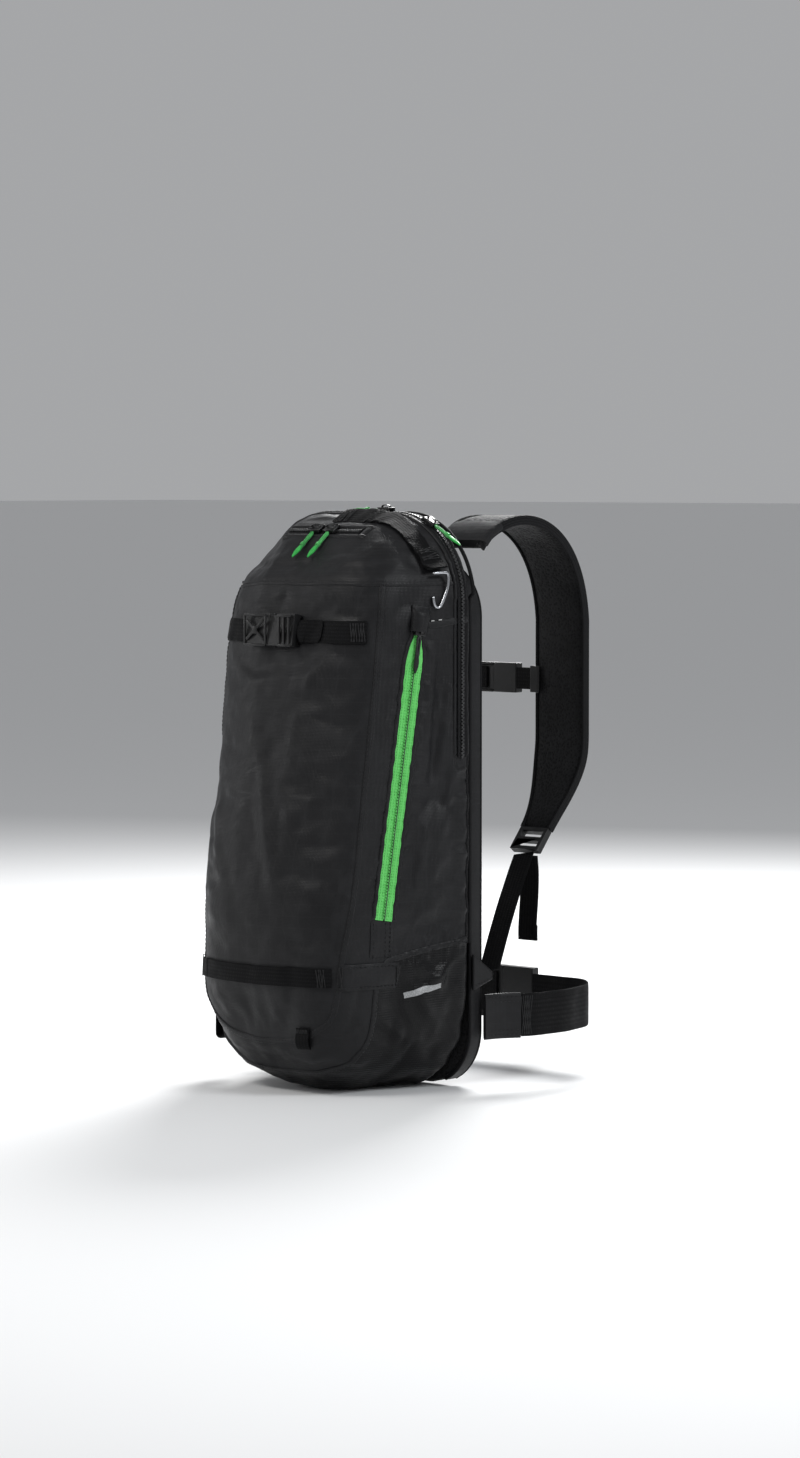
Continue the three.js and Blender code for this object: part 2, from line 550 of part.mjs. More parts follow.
// ---- Back pad and carrying straps ----
function addPads() {
  add('back_pad', roundedPlate(PAD, BACK_Y + SEAM, PAD.thickness), 'foam');
  const lumbar = { ...LUMBAR, cornerTop: LUMBAR.corner, cornerBottom: LUMBAR.corner };
  add('lumbar_pad', roundedPlate(lumbar, PAD_FACE_Y + SEAM, LUMBAR.thickness), 'foam');
}

// The worn shape of a shoulder strap from the side: over the shoulder, straight down the chest, back in.
const strapRoot = new THREE.Vector2(PAD_FACE_Y + STRAP.thickness / 2, STRAP.rootZ);
const strapEnd = new THREE.Vector2(STRAP.endY, STRAP.endZ);
const webStart = new THREE.Vector2(LOWER_WEB.anchorY, LOWER_WEB.anchorZ);
const webWay = strapEnd.clone().sub(webStart).normalize();

function strapPath() {
  const path = new THREE.Path();
  path.moveTo(strapRoot.x, strapRoot.y);
  const [rise, overShoulder, tuck] = [37, 108, 34];
  path.bezierCurveTo(strapRoot.x + 23, strapRoot.y + rise, STRAP.chestY - 9,
    STRAP.straightTop + overShoulder, STRAP.chestY, STRAP.straightTop);
  path.lineTo(STRAP.chestY, STRAP.straightBottom);
  const inward = strapEnd.clone().addScaledVector(webWay, tuck);
  path.bezierCurveTo(STRAP.chestY, STRAP.straightBottom - 28, inward.x, inward.y, strapEnd.x, strapEnd.y);
  return path.getPoints(8);
}

function addShoulderStrap(side, mark) {
  const x = side * STRAP.x;
  add(`shoulder_strap_${mark}`, sideRibbon(strapPath(), STRAP.thickness, x, STRAP.width), 'foam');

  // The ladder lock: a frame with a bar across it, in line with the webbing below.
  const out = unit(0, webWay.y, -webWay.x);
  const back = webWay.clone().negate();
  const lockTop = strapEnd.clone().addScaledVector(back, SEAM);
  const lock = frameAt(point3(x, lockTop.x, lockTop.y), unit(0, webWay.x, webWay.y), out);
  const { width, length, thickness, slot } = LOCK;
  const plate = block([-length, -width / 2, -thickness / 2], [0, width / 2, thickness / 2]);
  const gap = (length - 3 * LOCK.bar) / 2;
  const window = (start) => block([start, -slot / 2, -thickness], [start + gap, slot / 2, thickness]);
  const windows = window(LOCK.bar - length).add(window(2 * LOCK.bar + gap - length));
  add(`ladder_lock_${mark}`, plate.subtract(windows), 'plastic', lock);

  // The webbing from the sewn anchor up to the lock, and the loose end hanging in front of it.
  const skew = (LOWER_WEB.width / 2) * ((LOWER_WEB.anchorX - STRAP.x) / strapEnd.distanceTo(webStart));
  const webTop = lockTop.clone().addScaledVector(back, length + SEAM + 1.2 * skew);
  const anchor = point3(side * LOWER_WEB.anchorX, webStart.x, webStart.y);
  const webbing = bar(anchor, point3(x, webTop.x, webTop.y), LOWER_WEB.width, WEBBING, unit(1, 0, 0));
  add(`lower_webbing_${mark}`, webbing, 'webbing');
  const lockEnd = lockTop.clone().addScaledVector(back, length);
  const tailTop = point3(x, lockEnd.x, lockEnd.y).addScaledVector(out, thickness / 2 + TAIL.stand);
  const tail = bar(tailTop, tailTop.clone().add(point3(0, 0, -TAIL.length)), TAIL.width, WEBBING, unit(1, 0, 0));
  add(`webbing_tail_${mark}`, tail, 'webbing');
}

// The sewn wing that holds a lower webbing: a triangle standing off the bag's rear corner.
function addAnchor(side, mark) {
  const { thickness, startY, bottom, top, tip } = ANCHOR;
  const tipY = LOWER_WEB.anchorY - SEAM - 1;
  const shape = new THREE.Shape([
    new THREE.Vector2(startY, bottom), new THREE.Vector2(tipY, LOWER_WEB.anchorZ - tip),
    new THREE.Vector2(tipY, LOWER_WEB.anchorZ), new THREE.Vector2(startY, top),
  ]);
  const geometry = extruded(shape, thickness).rotateX(Math.PI / 2).rotateZ(Math.PI / 2);
  const from = side > 0 ? PAD.half + 2 * SEAM : -PAD.half - 2 * SEAM - thickness;
  add(`strap_anchor_${mark}`, solidFrom(geometry.translate(from, 0, 0)), 'shell');
}

// ---- Sternum strap ----
function addSternumStrap() {
  const inner = STRAP.x - STRAP.width / 2;
  const { z, clip, wrap, cheek, web, width } = STERNUM;
  const halfStrap = STRAP.thickness / 2 + SEAM;
  for (const [side, mark] of [[1, 'right'], [-1, 'left']]) {
    const span = (from, to) => (side > 0 ? [from, to] : [-to, -from]);
    const [low, high] = span(inner - web, inner + wrap);
    const [slotLow, slotHigh] = span(inner - SEAM, inner + 2 * wrap);
    const body = block([low, STRAP.chestY - halfStrap - cheek, z - clip / 2],
      [high, STRAP.chestY + halfStrap + cheek, z + clip / 2]);
    const groove = block([slotLow, STRAP.chestY - halfStrap, 0], [slotHigh, STRAP.chestY + halfStrap, FAR]);
    add(`sternum_clip_${mark}`, body.subtract(groove), 'plastic');
  }
  const group = frameAt(point3(0, STRAP.chestY, z), unit(-1, 0, 0), unit(0, 1, 0));
  addBuckle('sternum', STERNUM_BUCKLE, group);
  const reach = inner - web - SEAM;
  const ribbon = (from, to) => block([from, -width / 2, SEAM], [to, width / 2, SEAM + WEBBING]);
  add('sternum_webbing_right', ribbon(-reach, -STERNUM_BUCKLE.length / 2 - SEAM), 'webbing', group);
  add('sternum_webbing_left', ribbon(BUCKLE.end, reach), 'webbing', group);
}

// ---- Hip belt ----
function addHipBelt() {
  const group = frameAt(point3(0, HIP.frontY, HIP.z), unit(-1, 0, 0), unit(0, 1, 0));
  addBuckle('hip', HIP_BUCKLE, group);
  const frontY = HIP.frontY + SEAM + WEBBING / 2;
  const { rootX, rootY, spread, bulge, wingReach } = HIP;
  const wingEnd = new THREE.Vector2(rootX + spread, rootY + wingReach);
  for (const [side, mark] of [[1, 'right'], [-1, 'left']]) {
    const bend = new THREE.Vector2(rootX + spread / 4, rootY + wingReach / 2);
    const wing = [new THREE.Vector2(rootX, rootY), bend, wingEnd];
    const end = side > 0 ? HIP_BUCKLE.length / 2 + SEAM : BUCKLE.end;
    const curve = new THREE.Path().moveTo(wingEnd.x + SEAM, wingEnd.y + SEAM);
    curve.bezierCurveTo(wingEnd.x + bulge, wingEnd.y + wingReach, wingEnd.x + spread / 2, frontY,
      HIP.frontHalf, frontY);
    const web = curve.getPoints(9);
    web.push(new THREE.Vector2(end, frontY));
    const turned = (points) => points.map((point) => new THREE.Vector2(side * point.x, point.y));
    add(`hip_wing_${mark}`, planRibbon(turned(wing), HIP.wingThickness, HIP.z, HIP.wing), 'shell');
    add(`hip_webbing_${mark}`, planRibbon(turned(web), WEBBING, HIP.z, HIP.width), 'webbing');
  }
}

// A low webbing arch at the top of the back, to lift the pack by.
function addHaulLoop() {
  const { half, y, width, stand, leg, rise } = HAUL;
  const bottom = PAD.top + stand;
  const bend = bottom + leg;
  const path = new THREE.Path().moveTo(-half, bottom);
  path.lineTo(-half, bend);
  path.bezierCurveTo(-half, bend + rise, half, bend + rise, half, bend);
  path.lineTo(half, bottom);
  add('haul_loop', frontRibbon(path.getPoints(7), 2 * WEBBING, y, width), 'webbing');
}

addPanels();
addInsides();
addZips();
addSliders();
addZipPatch();
addFrontStrap();
addLowerStrap();
addSkiStrap();
addLowerSkiLoop();
addPads();
addHaulLoop();
for (const [side, mark] of [[1, 'right'], [-1, 'left']]) {
  addShoulderStrap(side, mark);
  addAnchor(side, mark);
}
addSternumStrap();
addHipBelt();

export default pack;
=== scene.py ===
import math
import json
import random
import bpy
import bmesh
from mathutils import Matrix, Vector, noise
from mathutils.bvhtree import BVHTree
from mathutils.kdtree import KDTree

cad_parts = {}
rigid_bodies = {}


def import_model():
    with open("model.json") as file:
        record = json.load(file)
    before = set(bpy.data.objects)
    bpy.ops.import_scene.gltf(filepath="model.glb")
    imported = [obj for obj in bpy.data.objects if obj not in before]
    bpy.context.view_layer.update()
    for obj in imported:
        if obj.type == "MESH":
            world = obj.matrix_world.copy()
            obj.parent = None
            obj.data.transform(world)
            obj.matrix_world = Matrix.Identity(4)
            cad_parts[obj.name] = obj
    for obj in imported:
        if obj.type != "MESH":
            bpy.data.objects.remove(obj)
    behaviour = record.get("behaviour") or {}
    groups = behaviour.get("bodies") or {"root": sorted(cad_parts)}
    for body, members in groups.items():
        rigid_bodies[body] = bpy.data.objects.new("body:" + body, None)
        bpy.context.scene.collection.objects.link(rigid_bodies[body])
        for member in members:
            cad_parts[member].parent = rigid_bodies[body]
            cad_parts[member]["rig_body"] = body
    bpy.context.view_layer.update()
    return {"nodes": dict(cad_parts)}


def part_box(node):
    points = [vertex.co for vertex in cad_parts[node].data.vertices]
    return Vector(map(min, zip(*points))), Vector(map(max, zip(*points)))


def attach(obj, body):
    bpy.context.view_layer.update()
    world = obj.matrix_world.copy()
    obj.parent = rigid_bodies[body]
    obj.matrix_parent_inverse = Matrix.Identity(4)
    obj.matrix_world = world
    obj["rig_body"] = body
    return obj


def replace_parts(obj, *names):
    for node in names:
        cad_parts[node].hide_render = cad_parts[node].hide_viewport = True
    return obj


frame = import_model()
MM = 0.001

X_AXIS, Y_AXIS, Z_AXIS = Vector((1, 0, 0)), Vector((0, 1, 0)), Vector((0, 0, 1))

# ---------------------------------------------------------------- camera and light

AZIMUTH, ELEVATION = math.radians(42.0), math.radians(3.2)
AIM = Vector((0.054, 0.049, 0.3125))
DISTANCE, LENS, SENSOR = 4.0, 113.5, 36
LIT_POINT = Vector((0, 0.03, 0.27))
SKY, SKY_STRENGTH = (0.86, 0.87, 0.89, 1), 0.44


def stand(obj, azimuth, elevation, target, distance):
    """Places a camera or lamp around a target and turns it to look there; azimuth 0 is the front."""
    away = Vector((math.sin(azimuth) * math.cos(elevation), -math.cos(azimuth) * math.cos(elevation),
                   math.sin(elevation)))
    obj.location = target + away * distance
    obj.rotation_euler = (-away).to_track_quat("-Z", "Y").to_euler()


def add_camera():
    data = bpy.data.cameras.new("camera")
    data.sensor_fit, data.sensor_height, data.sensor_width, data.lens = "VERTICAL", SENSOR, SENSOR, LENS
    camera = bpy.data.objects.new("camera", data)
    stand(camera, AZIMUTH, ELEVATION, AIM, DISTANCE)
    bpy.context.scene.collection.objects.link(camera)
    bpy.context.scene.camera = camera


def add_light(name, azimuth, elevation, distance, size, energy, colour=(1, 1, 1)):
    data = bpy.data.lights.new(name, "AREA")
    data.shape, data.size, data.energy, data.color = "DISK", size, energy, colour
    lamp = bpy.data.objects.new(name, data)
    stand(lamp, math.radians(azimuth), math.radians(elevation), LIT_POINT, distance)
    bpy.context.scene.collection.objects.link(lamp)


add_camera()
add_light("key_light", -12, 46, 2.2, 0.8, 19, (1.0, 0.985, 0.96))
add_light("side_light", 96, 36, 2.2, 0.8, 21, (0.95, 0.975, 1.0))
add_light("back_light", 205, 36, 2.2, 1.0, 60)
add_light("low_light", 300, 12, 2.6, 0.7, 8)
world = bpy.data.worlds.new("studio")
world.use_nodes = True
world.node_tree.nodes["Background"].inputs["Color"].default_value = SKY
world.node_tree.nodes["Background"].inputs["Strength"].default_value = SKY_STRENGTH
bpy.context.scene.world = world
bpy.context.scene.view_settings.view_transform = "Standard"


# ---------------------------------------------------------------- materials

class Finish:
    """A material being wired: each call adds one node and returns its output."""

    def __init__(self, name, colour, roughness, **sockets):
        self.material = bpy.data.materials.new(name)
        self.material.use_nodes = True
        self.tree = self.material.node_tree
        self.shader = self.tree.nodes["Principled BSDF"]
        self.shader.inputs["Base Color"].default_value = (*colour, 1)
        self.shader.inputs["Roughness"].default_value = roughness
        for socket, value in sockets.items():
            self.shader.inputs[socket.replace("_", " ")].default_value = value

    def node(self, kind, inputs=(), **settings):
        made = self.tree.nodes.new(kind)
        for key, value in settings.items():
            setattr(made, key, value)
        for key, value in dict(inputs).items():
            if isinstance(value, bpy.types.NodeSocket):
                self.tree.links.new(value, made.inputs[key])
            else:
                made.inputs[key].default_value = value
        return made

    def place(self, own_uv=False, stretch=(1, 1, 1), turn=(0, 0, 0)):
        coords = self.node("ShaderNodeTexCoord").outputs["UV" if own_uv else "Object"]
        return self.node("ShaderNodeMapping", {"Vector": coords, "Scale": stretch,
                                               "Rotation": turn}).outputs[0]

    def noise(self, where, scale, detail=3.0, rough=0.5):
        return self.node("ShaderNodeTexNoise", {"Vector": where, "Scale": scale, "Detail": detail,
                                                "Roughness": rough}).outputs["Fac"]

    def wave(self, where, scale, axis="X", distortion=0.0):
        return self.node("ShaderNodeTexWave", {"Vector": where, "Scale": scale, "Distortion": distortion,
                                               "Detail Scale": 2.0},
                         wave_type="BANDS", bands_direction=axis, wave_profile="SIN").outputs["Fac"]

    def cells(self, where, scale):
        return self.node("ShaderNodeTexVoronoi", {"Vector": where, "Scale": scale},
                         feature="F1").outputs["Distance"]

    def maths(self, how, a, b=0.0):
        return self.node("ShaderNodeMath", {0: a, 1: b}, operation=how).outputs[0]

    def between(self, fac, low, high, start=0.0, stop=1.0):
        """A number that runs from low to high as fac goes from start to stop."""
        return self.node("ShaderNodeMapRange", {"Value": fac, "From Min": start, "From Max": stop,
                                                "To Min": low, "To Max": high}).outputs[0]

    def mix(self, fac, a, b):
        made = self.node("ShaderNodeMix", {"Factor": fac}, data_type="RGBA", blend_type="MIX")
        for key, value in ((6, a), (7, b)):
            if isinstance(value, bpy.types.NodeSocket):
                self.tree.links.new(value, made.inputs[key])
            else:
                made.inputs[key].default_value = (*value, 1)
        return made.outputs[2]

    def colour(self, value):
        self.tree.links.new(value, self.shader.inputs["Base Color"])

    def rough(self, value):
        self.tree.links.new(value, self.shader.inputs["Roughness"])

    def bump(self, height, distance, strength=1.0):
        before = self.shader.inputs["Normal"].links
        inputs = {"Height": height, "Distance": distance, "Strength": strength}
        if before:
            inputs["Normal"] = before[0].from_socket
        self.tree.links.new(self.node("ShaderNodeBump", inputs).outputs[0], self.shader.inputs["Normal"])


def woven_shell():
    """Close plain weave with a fine ripstop grid, a soft sheen and a little fading."""
    f = Finish("shell_weave", (0.015, 0.015, 0.016), 0.55, Sheen_Weight=0.02, Sheen_Roughness=0.35,
               Specular_IOR_Level=0.2)
    f.shader.inputs["Sheen Tint"].default_value = (0.75, 0.8, 0.9, 1)
    at = f.place()
    faded = f.noise(at, 9, 4, 0.6)
    dusty = f.noise(at, 70, 3, 0.55)
    body = f.mix(f.between(faded, 0, 1, 0.35, 0.7), (0.0065, 0.0065, 0.0072), (0.0105, 0.0105, 0.0115))
    speck = f.mix(f.between(dusty, 0, 0.5, 0.5, 0.75), body, (0.016, 0.016, 0.0172))
    across = f.wave(at, 260, "X", 0.4)
    up = f.wave(at, 260, "Z", 0.4)
    deep = f.wave(at, 260, "Y", 0.4)
    thread = f.maths("MULTIPLY", f.maths("ADD", across, deep), up)
    grid = f.maths("MAXIMUM", f.maths("GREATER_THAN", f.wave(at, 31, "Z"), 0.985),
                   f.maths("GREATER_THAN", f.wave(f.place(turn=(0, 0, 0.7)), 31, "X"), 0.985))
    f.colour(f.mix(f.maths("MULTIPLY", grid, 0.16), speck, (0.020, 0.020, 0.0215)))
    f.rough(f.between(dusty, 0.38, 0.56, 0.3, 0.7))
    f.bump(thread, 0.00012, 0.5)
    f.bump(f.noise(at, 420, 2), 0.0002, 0.35)
    f.bump(f.noise(f.place(stretch=(1, 1, 0.45)), 45, 3, 0.55), 0.0016, 0.4)
    return f.material


def coated_base():
    """Heavier coated cloth of the base: a coarser weave under a satin film."""
    f = Finish("base_coated_weave", (0.006, 0.006, 0.0065), 0.36, Coat_Weight=0.03, Coat_Roughness=0.3,
               Specular_IOR_Level=0.16)
    at = f.place()
    scuff = f.noise(f.place(stretch=(1, 1, 2.2)), 55, 5, 0.62)
    body = f.mix(f.between(f.noise(at, 14, 3), 0, 1, 0.35, 0.7), (0.0030, 0.0030, 0.0034),
                 (0.0058, 0.0058, 0.0064))
    f.colour(f.mix(f.between(scuff, 0, 0.55, 0.58, 0.78), body, (0.016, 0.016, 0.017)))
    f.rough(f.between(scuff, 0.30, 0.52, 0.35, 0.75))
    cross = f.maths("MULTIPLY", f.maths("ADD", f.wave(at, 150, "X", 0.6), f.wave(at, 150, "Y", 0.6)),
                    f.wave(at, 150, "Z", 0.6))
    f.bump(cross, 0.0002, 0.55)
    f.bump(f.noise(at, 38, 3, 0.5), 0.0018, 0.35)
    return f.material


def woven_strap(name, dark, light, rib=520.0, sheen=0.01):
    """Narrow webbing: ribs along its length, crossed by the picks, worn lighter in patches."""
    f = Finish(name, dark, 0.6, Sheen_Weight=sheen, Sheen_Roughness=0.4, Specular_IOR_Level=0.07)
    at = f.place(own_uv=True)
    ribs = f.wave(at, rib * 0.31, "Y", 0.2)
    picks = f.wave(at, rib * 0.42, "X", 0.5)
    twill = f.wave(f.place(own_uv=True, turn=(0, 0, 0.785)), rib * 0.36, "X", 0.3)
    worn = f.noise(f.place(), 60, 4, 0.6)
    base = f.mix(f.between(worn, 0, 0.8, 0.35, 0.75), dark, light)
    f.colour(f.mix(f.maths("MULTIPLY", picks, 0.35), base, tuple(min(1.0, c * 1.9) for c in light)))
    f.rough(f.between(worn, 0.5, 0.72, 0.3, 0.7))
    f.bump(f.maths("MULTIPLY", ribs, picks), 0.00035, 0.6)
    f.bump(twill, 0.00015, 0.5)
    return f.material


def zip_coil(name, colour, light):
    """Nylon monofilament: glossy, with a faint change of shade."""
    f = Finish(name, colour, 0.34, Specular_IOR_Level=0.5)
    at = f.place()
    f.colour(f.mix(f.between(f.noise(at, 220, 2), 0, 1, 0.4, 0.62), colour, light))
    f.rough(f.between(f.noise(at, 500, 2), 0.26, 0.5))
    f.bump(f.noise(at, 900, 2), 0.0001, 0.4)
    return f.material


def braided_cord():
    """Sleeved cord: two sets of strands crossing at an angle, with painted shade in the gaps between the strands.
    """
    f = Finish("cord_braid", (0.03, 0.27, 0.05), 0.48, Sheen_Weight=0.2, Sheen_Roughness=0.4)
    one = f.wave(f.place(own_uv=True, turn=(0, 0, 0.72)), 520, "X", 0.1)
    two = f.wave(f.place(own_uv=True, turn=(0, 0, -0.72)), 520, "X", 0.1)
    braid = f.maths("MAXIMUM", one, two)
    worn = f.noise(f.place(), 130, 3)
    green = f.mix(f.between(worn, 0, 1, 0.35, 0.7), (0.026, 0.34, 0.056), (0.07, 0.55, 0.115))
    # painted shade: where neither set of strands stands up, the green is mixed towards a near-black green
    f.colour(f.mix(f.between(braid, 0.55, 0, 0.2, 0.8), green, (0.004, 0.06, 0.012)))
    f.rough(f.between(worn, 0.38, 0.6))
    f.bump(braid, 0.0004, 0.8)
    return f.material


def spacer_mesh():
    """Open knitted mesh over foam, with small round cells painted darker inside: painted shade in the holes."""
    f = Finish("pad_mesh", (0.012, 0.012, 0.013), 0.8, Sheen_Weight=0.02, Sheen_Roughness=0.5,
               Specular_IOR_Level=0.15)
    at = f.place()
    holes = f.cells(at, 430)
    knit = f.noise(at, 24, 3, 0.6)
    base = f.mix(f.between(knit, 0, 1, 0.35, 0.7), (0.0075, 0.0075, 0.008), (0.014, 0.014, 0.015))
    # painted shade: the middle of each cell, the hole in the knit, is mixed towards near black
    f.colour(f.mix(f.between(holes, 0.85, 0, 0.1, 0.5), base, (0.003, 0.003, 0.003)))
    f.rough(f.between(holes, 0.9, 0.62, 0.1, 0.6))
    f.bump(holes, 0.0006, 0.7)
    f.bump(f.noise(at, 60, 2), 0.0014, 0.3)
    return f.material


def moulded_plastic(name, colour, scuffed, rough=0.42):
    """Acetal with a fine spark-eroded grain and rubbed, shinier patches."""
    f = Finish(name, colour, rough, Specular_IOR_Level=0.36)
    at = f.place()
    rub = f.noise(f.place(stretch=(1, 1.8, 1)), 120, 4, 0.65)
    f.colour(f.mix(f.between(rub, 0, 0.7, 0.5, 0.8), colour, scuffed))
    f.rough(f.between(rub, rough + 0.08, rough - 0.14, 0.35, 0.75))
    f.bump(f.noise(at, 1400, 2, 0.6), 0.00012, 0.5)
    f.bump(f.noise(at, 90, 2), 0.0003, 0.15)
    return f.material


def drawn_wire():
    """Bright wire with fine marks of the die along it."""
    f = Finish("steel_wire", (0.6, 0.61, 0.62), 0.25, Metallic=1.0)
    at = f.place()
    marks = f.noise(f.place(stretch=(1, 1, 14)), 160, 4, 0.7)
    f.colour(f.mix(f.between(marks, 0, 0.6, 0.45, 0.8), (0.42, 0.43, 0.45), (0.2, 0.2, 0.21)))
    f.rough(f.between(marks, 0.18, 0.42, 0.3, 0.8))
    f.bump(f.noise(at, 900, 2), 0.00008, 0.5)
    return f.material


def sewing_thread(name, colour, light):
    """Twisted thread: lighter and darker bands in turn, a painted highlight on each ply and painted shade between
    the plies.
    """
    f = Finish(name, colour, 0.55, Sheen_Weight=0.02, Sheen_Roughness=0.3, Specular_IOR_Level=0.2)
    at = f.place(turn=(0.5, 0.6, 0.4))
    ply = f.wave(at, 900, "X", 0.5)
    # painted highlight and painted shade: the colour runs from colour to light across each ply band
    f.colour(f.mix(ply, colour, light))
    f.rough(f.between(f.noise(at, 300, 2), 0.45, 0.65))
    f.bump(ply, 0.0001, 0.6)
    return f.material


def glass_bead_strip():
    """Reflective strip: tiny beads in a grey resin."""
    f = Finish("reflective_strip", (0.42, 0.43, 0.44), 0.4, Specular_IOR_Level=0.7)
    at = f.place()
    beads = f.cells(at, 900)
    f.colour(f.mix(f.between(beads, 1, 0, 0, 0.5), (0.24, 0.245, 0.25), (0.5, 0.51, 0.52)))
    f.rough(f.between(f.noise(at, 80, 3), 0.3, 0.55))
    f.bump(beads, 0.0001, 0.5)
    return f.material


SHELL = woven_shell()
BASE = coated_base()
WEB = woven_strap("strap_webbing", (0.0026, 0.0026, 0.0028), (0.0058, 0.0058, 0.0063))
BINDING = woven_strap("edge_binding", (0.005, 0.005, 0.0054), (0.010, 0.010, 0.0108), rib=900.0)
GREEN = woven_strap("zip_tape_green", (0.105, 0.50, 0.108), (0.15, 0.60, 0.15), rib=1000.0, sheen=0.05)
DARK_TAPE = woven_strap("zip_tape_dark", (0.006, 0.006, 0.0065), (0.012, 0.012, 0.0128), rib=1000.0)
COIL = zip_coil("coil_green", (0.07, 0.36, 0.072), (0.11, 0.48, 0.112))
COIL_GREY = zip_coil("coil_black", (0.008, 0.008, 0.0085), (0.025, 0.025, 0.026))
CORD = braided_cord()
GREEN_END = moulded_plastic("pull_end_green", (0.03, 0.36, 0.062), (0.08, 0.52, 0.12), 0.45)
MESH = spacer_mesh()
PLASTIC = moulded_plastic("buckle_plastic", (0.0055, 0.0055, 0.0058), (0.014, 0.014, 0.0145))
SLIDER_METAL = moulded_plastic("slider_enamel", (0.007, 0.007, 0.0073), (0.03, 0.03, 0.031), 0.3)
SHEET = moulded_plastic("frame_sheet_plastic", (0.02, 0.02, 0.021), (0.04, 0.04, 0.042), 0.5)
WIRE = drawn_wire()
THREAD = sewing_thread("dark_thread", (0.008, 0.008, 0.0085), (0.02, 0.02, 0.021))
GREEN_THREAD = sewing_thread("green_thread", (0.05, 0.3, 0.055), (0.11, 0.5, 0.11))
PALE_THREAD = sewing_thread("pale_thread", (0.3, 0.3, 0.3), (0.6, 0.6, 0.59))
STRIP = glass_bead_strip()
DARK_CORD = zip_coil("cord_dark", (0.006, 0.006, 0.0065), (0.016, 0.016, 0.017))


# ---------------------------------------------------------------- mesh tools

def link(mesh, name):
    obj = bpy.data.objects.new(name, mesh)
    bpy.context.scene.collection.objects.link(obj)
    return obj


def baked(obj):
    """The object's mesh with its modifiers applied."""
    bpy.context.view_layer.update()
    graph = bpy.context.evaluated_depsgraph_get()
    mesh = bpy.data.meshes.new_from_object(obj.evaluated_get(graph), depsgraph=graph)
    obj.modifiers.clear()
    obj.data = mesh
    return obj


def faces_of(verts):
    return {f for v in verts for f in v.link_faces}


def heading(points, i):
    """The direction of a path at its point i."""
    return (points[min(i + 1, len(points) - 1)] - points[max(i - 1, 0)]).normalized()


def evened(ups, times):
    """Directions along a path, each averaged with its neighbours."""
    for _ in range(times):
        ups = [(ups[max(i - 1, 0)] + ups[i] * 2 + ups[min(i + 1, len(ups) - 1)]).normalized()
               for i in range(len(ups))]
    return ups


def smoothstep(x, start, stop):
    t = min(1.0, max(0.0, (x - start) / (stop - start)))
    return t * t * (3 - 2 * t)


def to_segment(p, a, b):
    """How far p is from the segment a-b, and how far along it the nearest point is, 0 to 1."""
    d = b - a
    t = min(1.0, max(0.0, (p - a).dot(d) / d.length_squared))
    return (p - (a + d * t)).length, t


def to_box(p, low, high):
    return Vector([max(low[i] - p[i], 0, p[i] - high[i]) for i in range(3)]).length


class Piece:
    """One object in the making: shapes are added to one bmesh, then finished together."""

    def __init__(self):
        self.bm = bmesh.new()
        self.uv = self.bm.loops.layers.uv.new("UVMap")

    def sheet(self, columns, rows, place, size=(1.0, 1.0), material=0, cap=True):
        """A grid of columns by rows carried to place(s, t); edges that meet are welded and open ends are capped."""
        made = bmesh.ops.create_grid(self.bm, x_segments=columns, y_segments=rows, size=0.5)["verts"]
        faces = faces_of(made)
        for f in faces:
            f.smooth, f.material_index = True, material
            for loop in f.loops:
                loop[self.uv].uv = ((loop.vert.co.x + 0.5) * size[0], (loop.vert.co.y + 0.5) * size[1])
        for v in made:
            v.co = place(v.co.x + 0.5, v.co.y + 0.5)
        bmesh.ops.remove_doubles(self.bm, verts=made, dist=2e-6)
        made = [v for v in made if v.is_valid]
        if cap:
            rim = {e for v in made for e in v.link_edges if e.is_boundary}
            if rim:
                for f in bmesh.ops.holes_fill(self.bm, edges=list(rim), sides=0)["faces"]:
                    f.smooth, f.material_index = True, material
        faces = faces_of(made)
        bmesh.ops.recalc_face_normals(self.bm, faces=list(faces))
        return made

    def block(self, centre, size, bevel=0.0, turn=None, material=0, segments=2):
        """A block with rounded edges."""
        made = bmesh.ops.create_cube(self.bm, size=1)["verts"]
        bmesh.ops.scale(self.bm, vec=Vector(size), verts=made)
        bmesh.ops.transform(self.bm, verts=made, matrix=Matrix.Translation(centre) @ (turn
                                                                                      or Matrix()).to_4x4())
        faces = faces_of(made)
        for f in faces:
            f.material_index = material
        if bevel:
            edges = list({e for v in made for e in v.link_edges})
            bmesh.ops.bevel(self.bm, geom=edges, offset=bevel, segments=segments, profile=0.5,
                            affect="EDGES", material=-1, clamp_overlap=True)
        return made

    def finish(self, name, body, materials, slot, crease=38):
        mesh = bpy.data.meshes.new(name)
        self.bm.to_mesh(mesh)
        self.bm.free()
        for material in materials if isinstance(materials, (list, tuple)) else [materials]:
            mesh.materials.append(material)
        for polygon in mesh.polygons:
            polygon.use_smooth = True
        mesh.set_sharp_from_angle(angle=math.radians(crease))
        obj = link(mesh, name)
        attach(obj, body)
        return obj


def smooth_path(points, count):
    """count points evenly along a Catmull-Rom curve through the given points."""
    pts = [Vector(p) for p in points]
    fine = []
    for i in range(len(pts) - 1):
        p0, p1, p2, p3 = pts[max(i - 1, 0)], pts[i], pts[i + 1], pts[min(i + 2, len(pts) - 1)]
        for k in range(16):
            t = k / 16
            fine.append(0.5 * (2 * p1 + (p2 - p0) * t + (2 * p0 - 5 * p1 + 4 * p2 - p3) * t * t
                               + (3 * p1 - p0 - 3 * p2 + p3) * t ** 3))
    fine.append(pts[-1])
    reach = [0.0]
    for a, b in zip(fine, fine[1:]):
        reach.append(reach[-1] + (b - a).length)
    out, j = [], 0
    for i in range(count):
        want = reach[-1] * i / (count - 1)
        while j < len(fine) - 2 and reach[j + 1] < want:
            j += 1
        span = reach[j + 1] - reach[j] or 1e-9
        out.append(fine[j].lerp(fine[j + 1], (want - reach[j]) / span))
    return out


def path_length(points):
    return sum((b - a).length for a, b in zip(points, points[1:]))


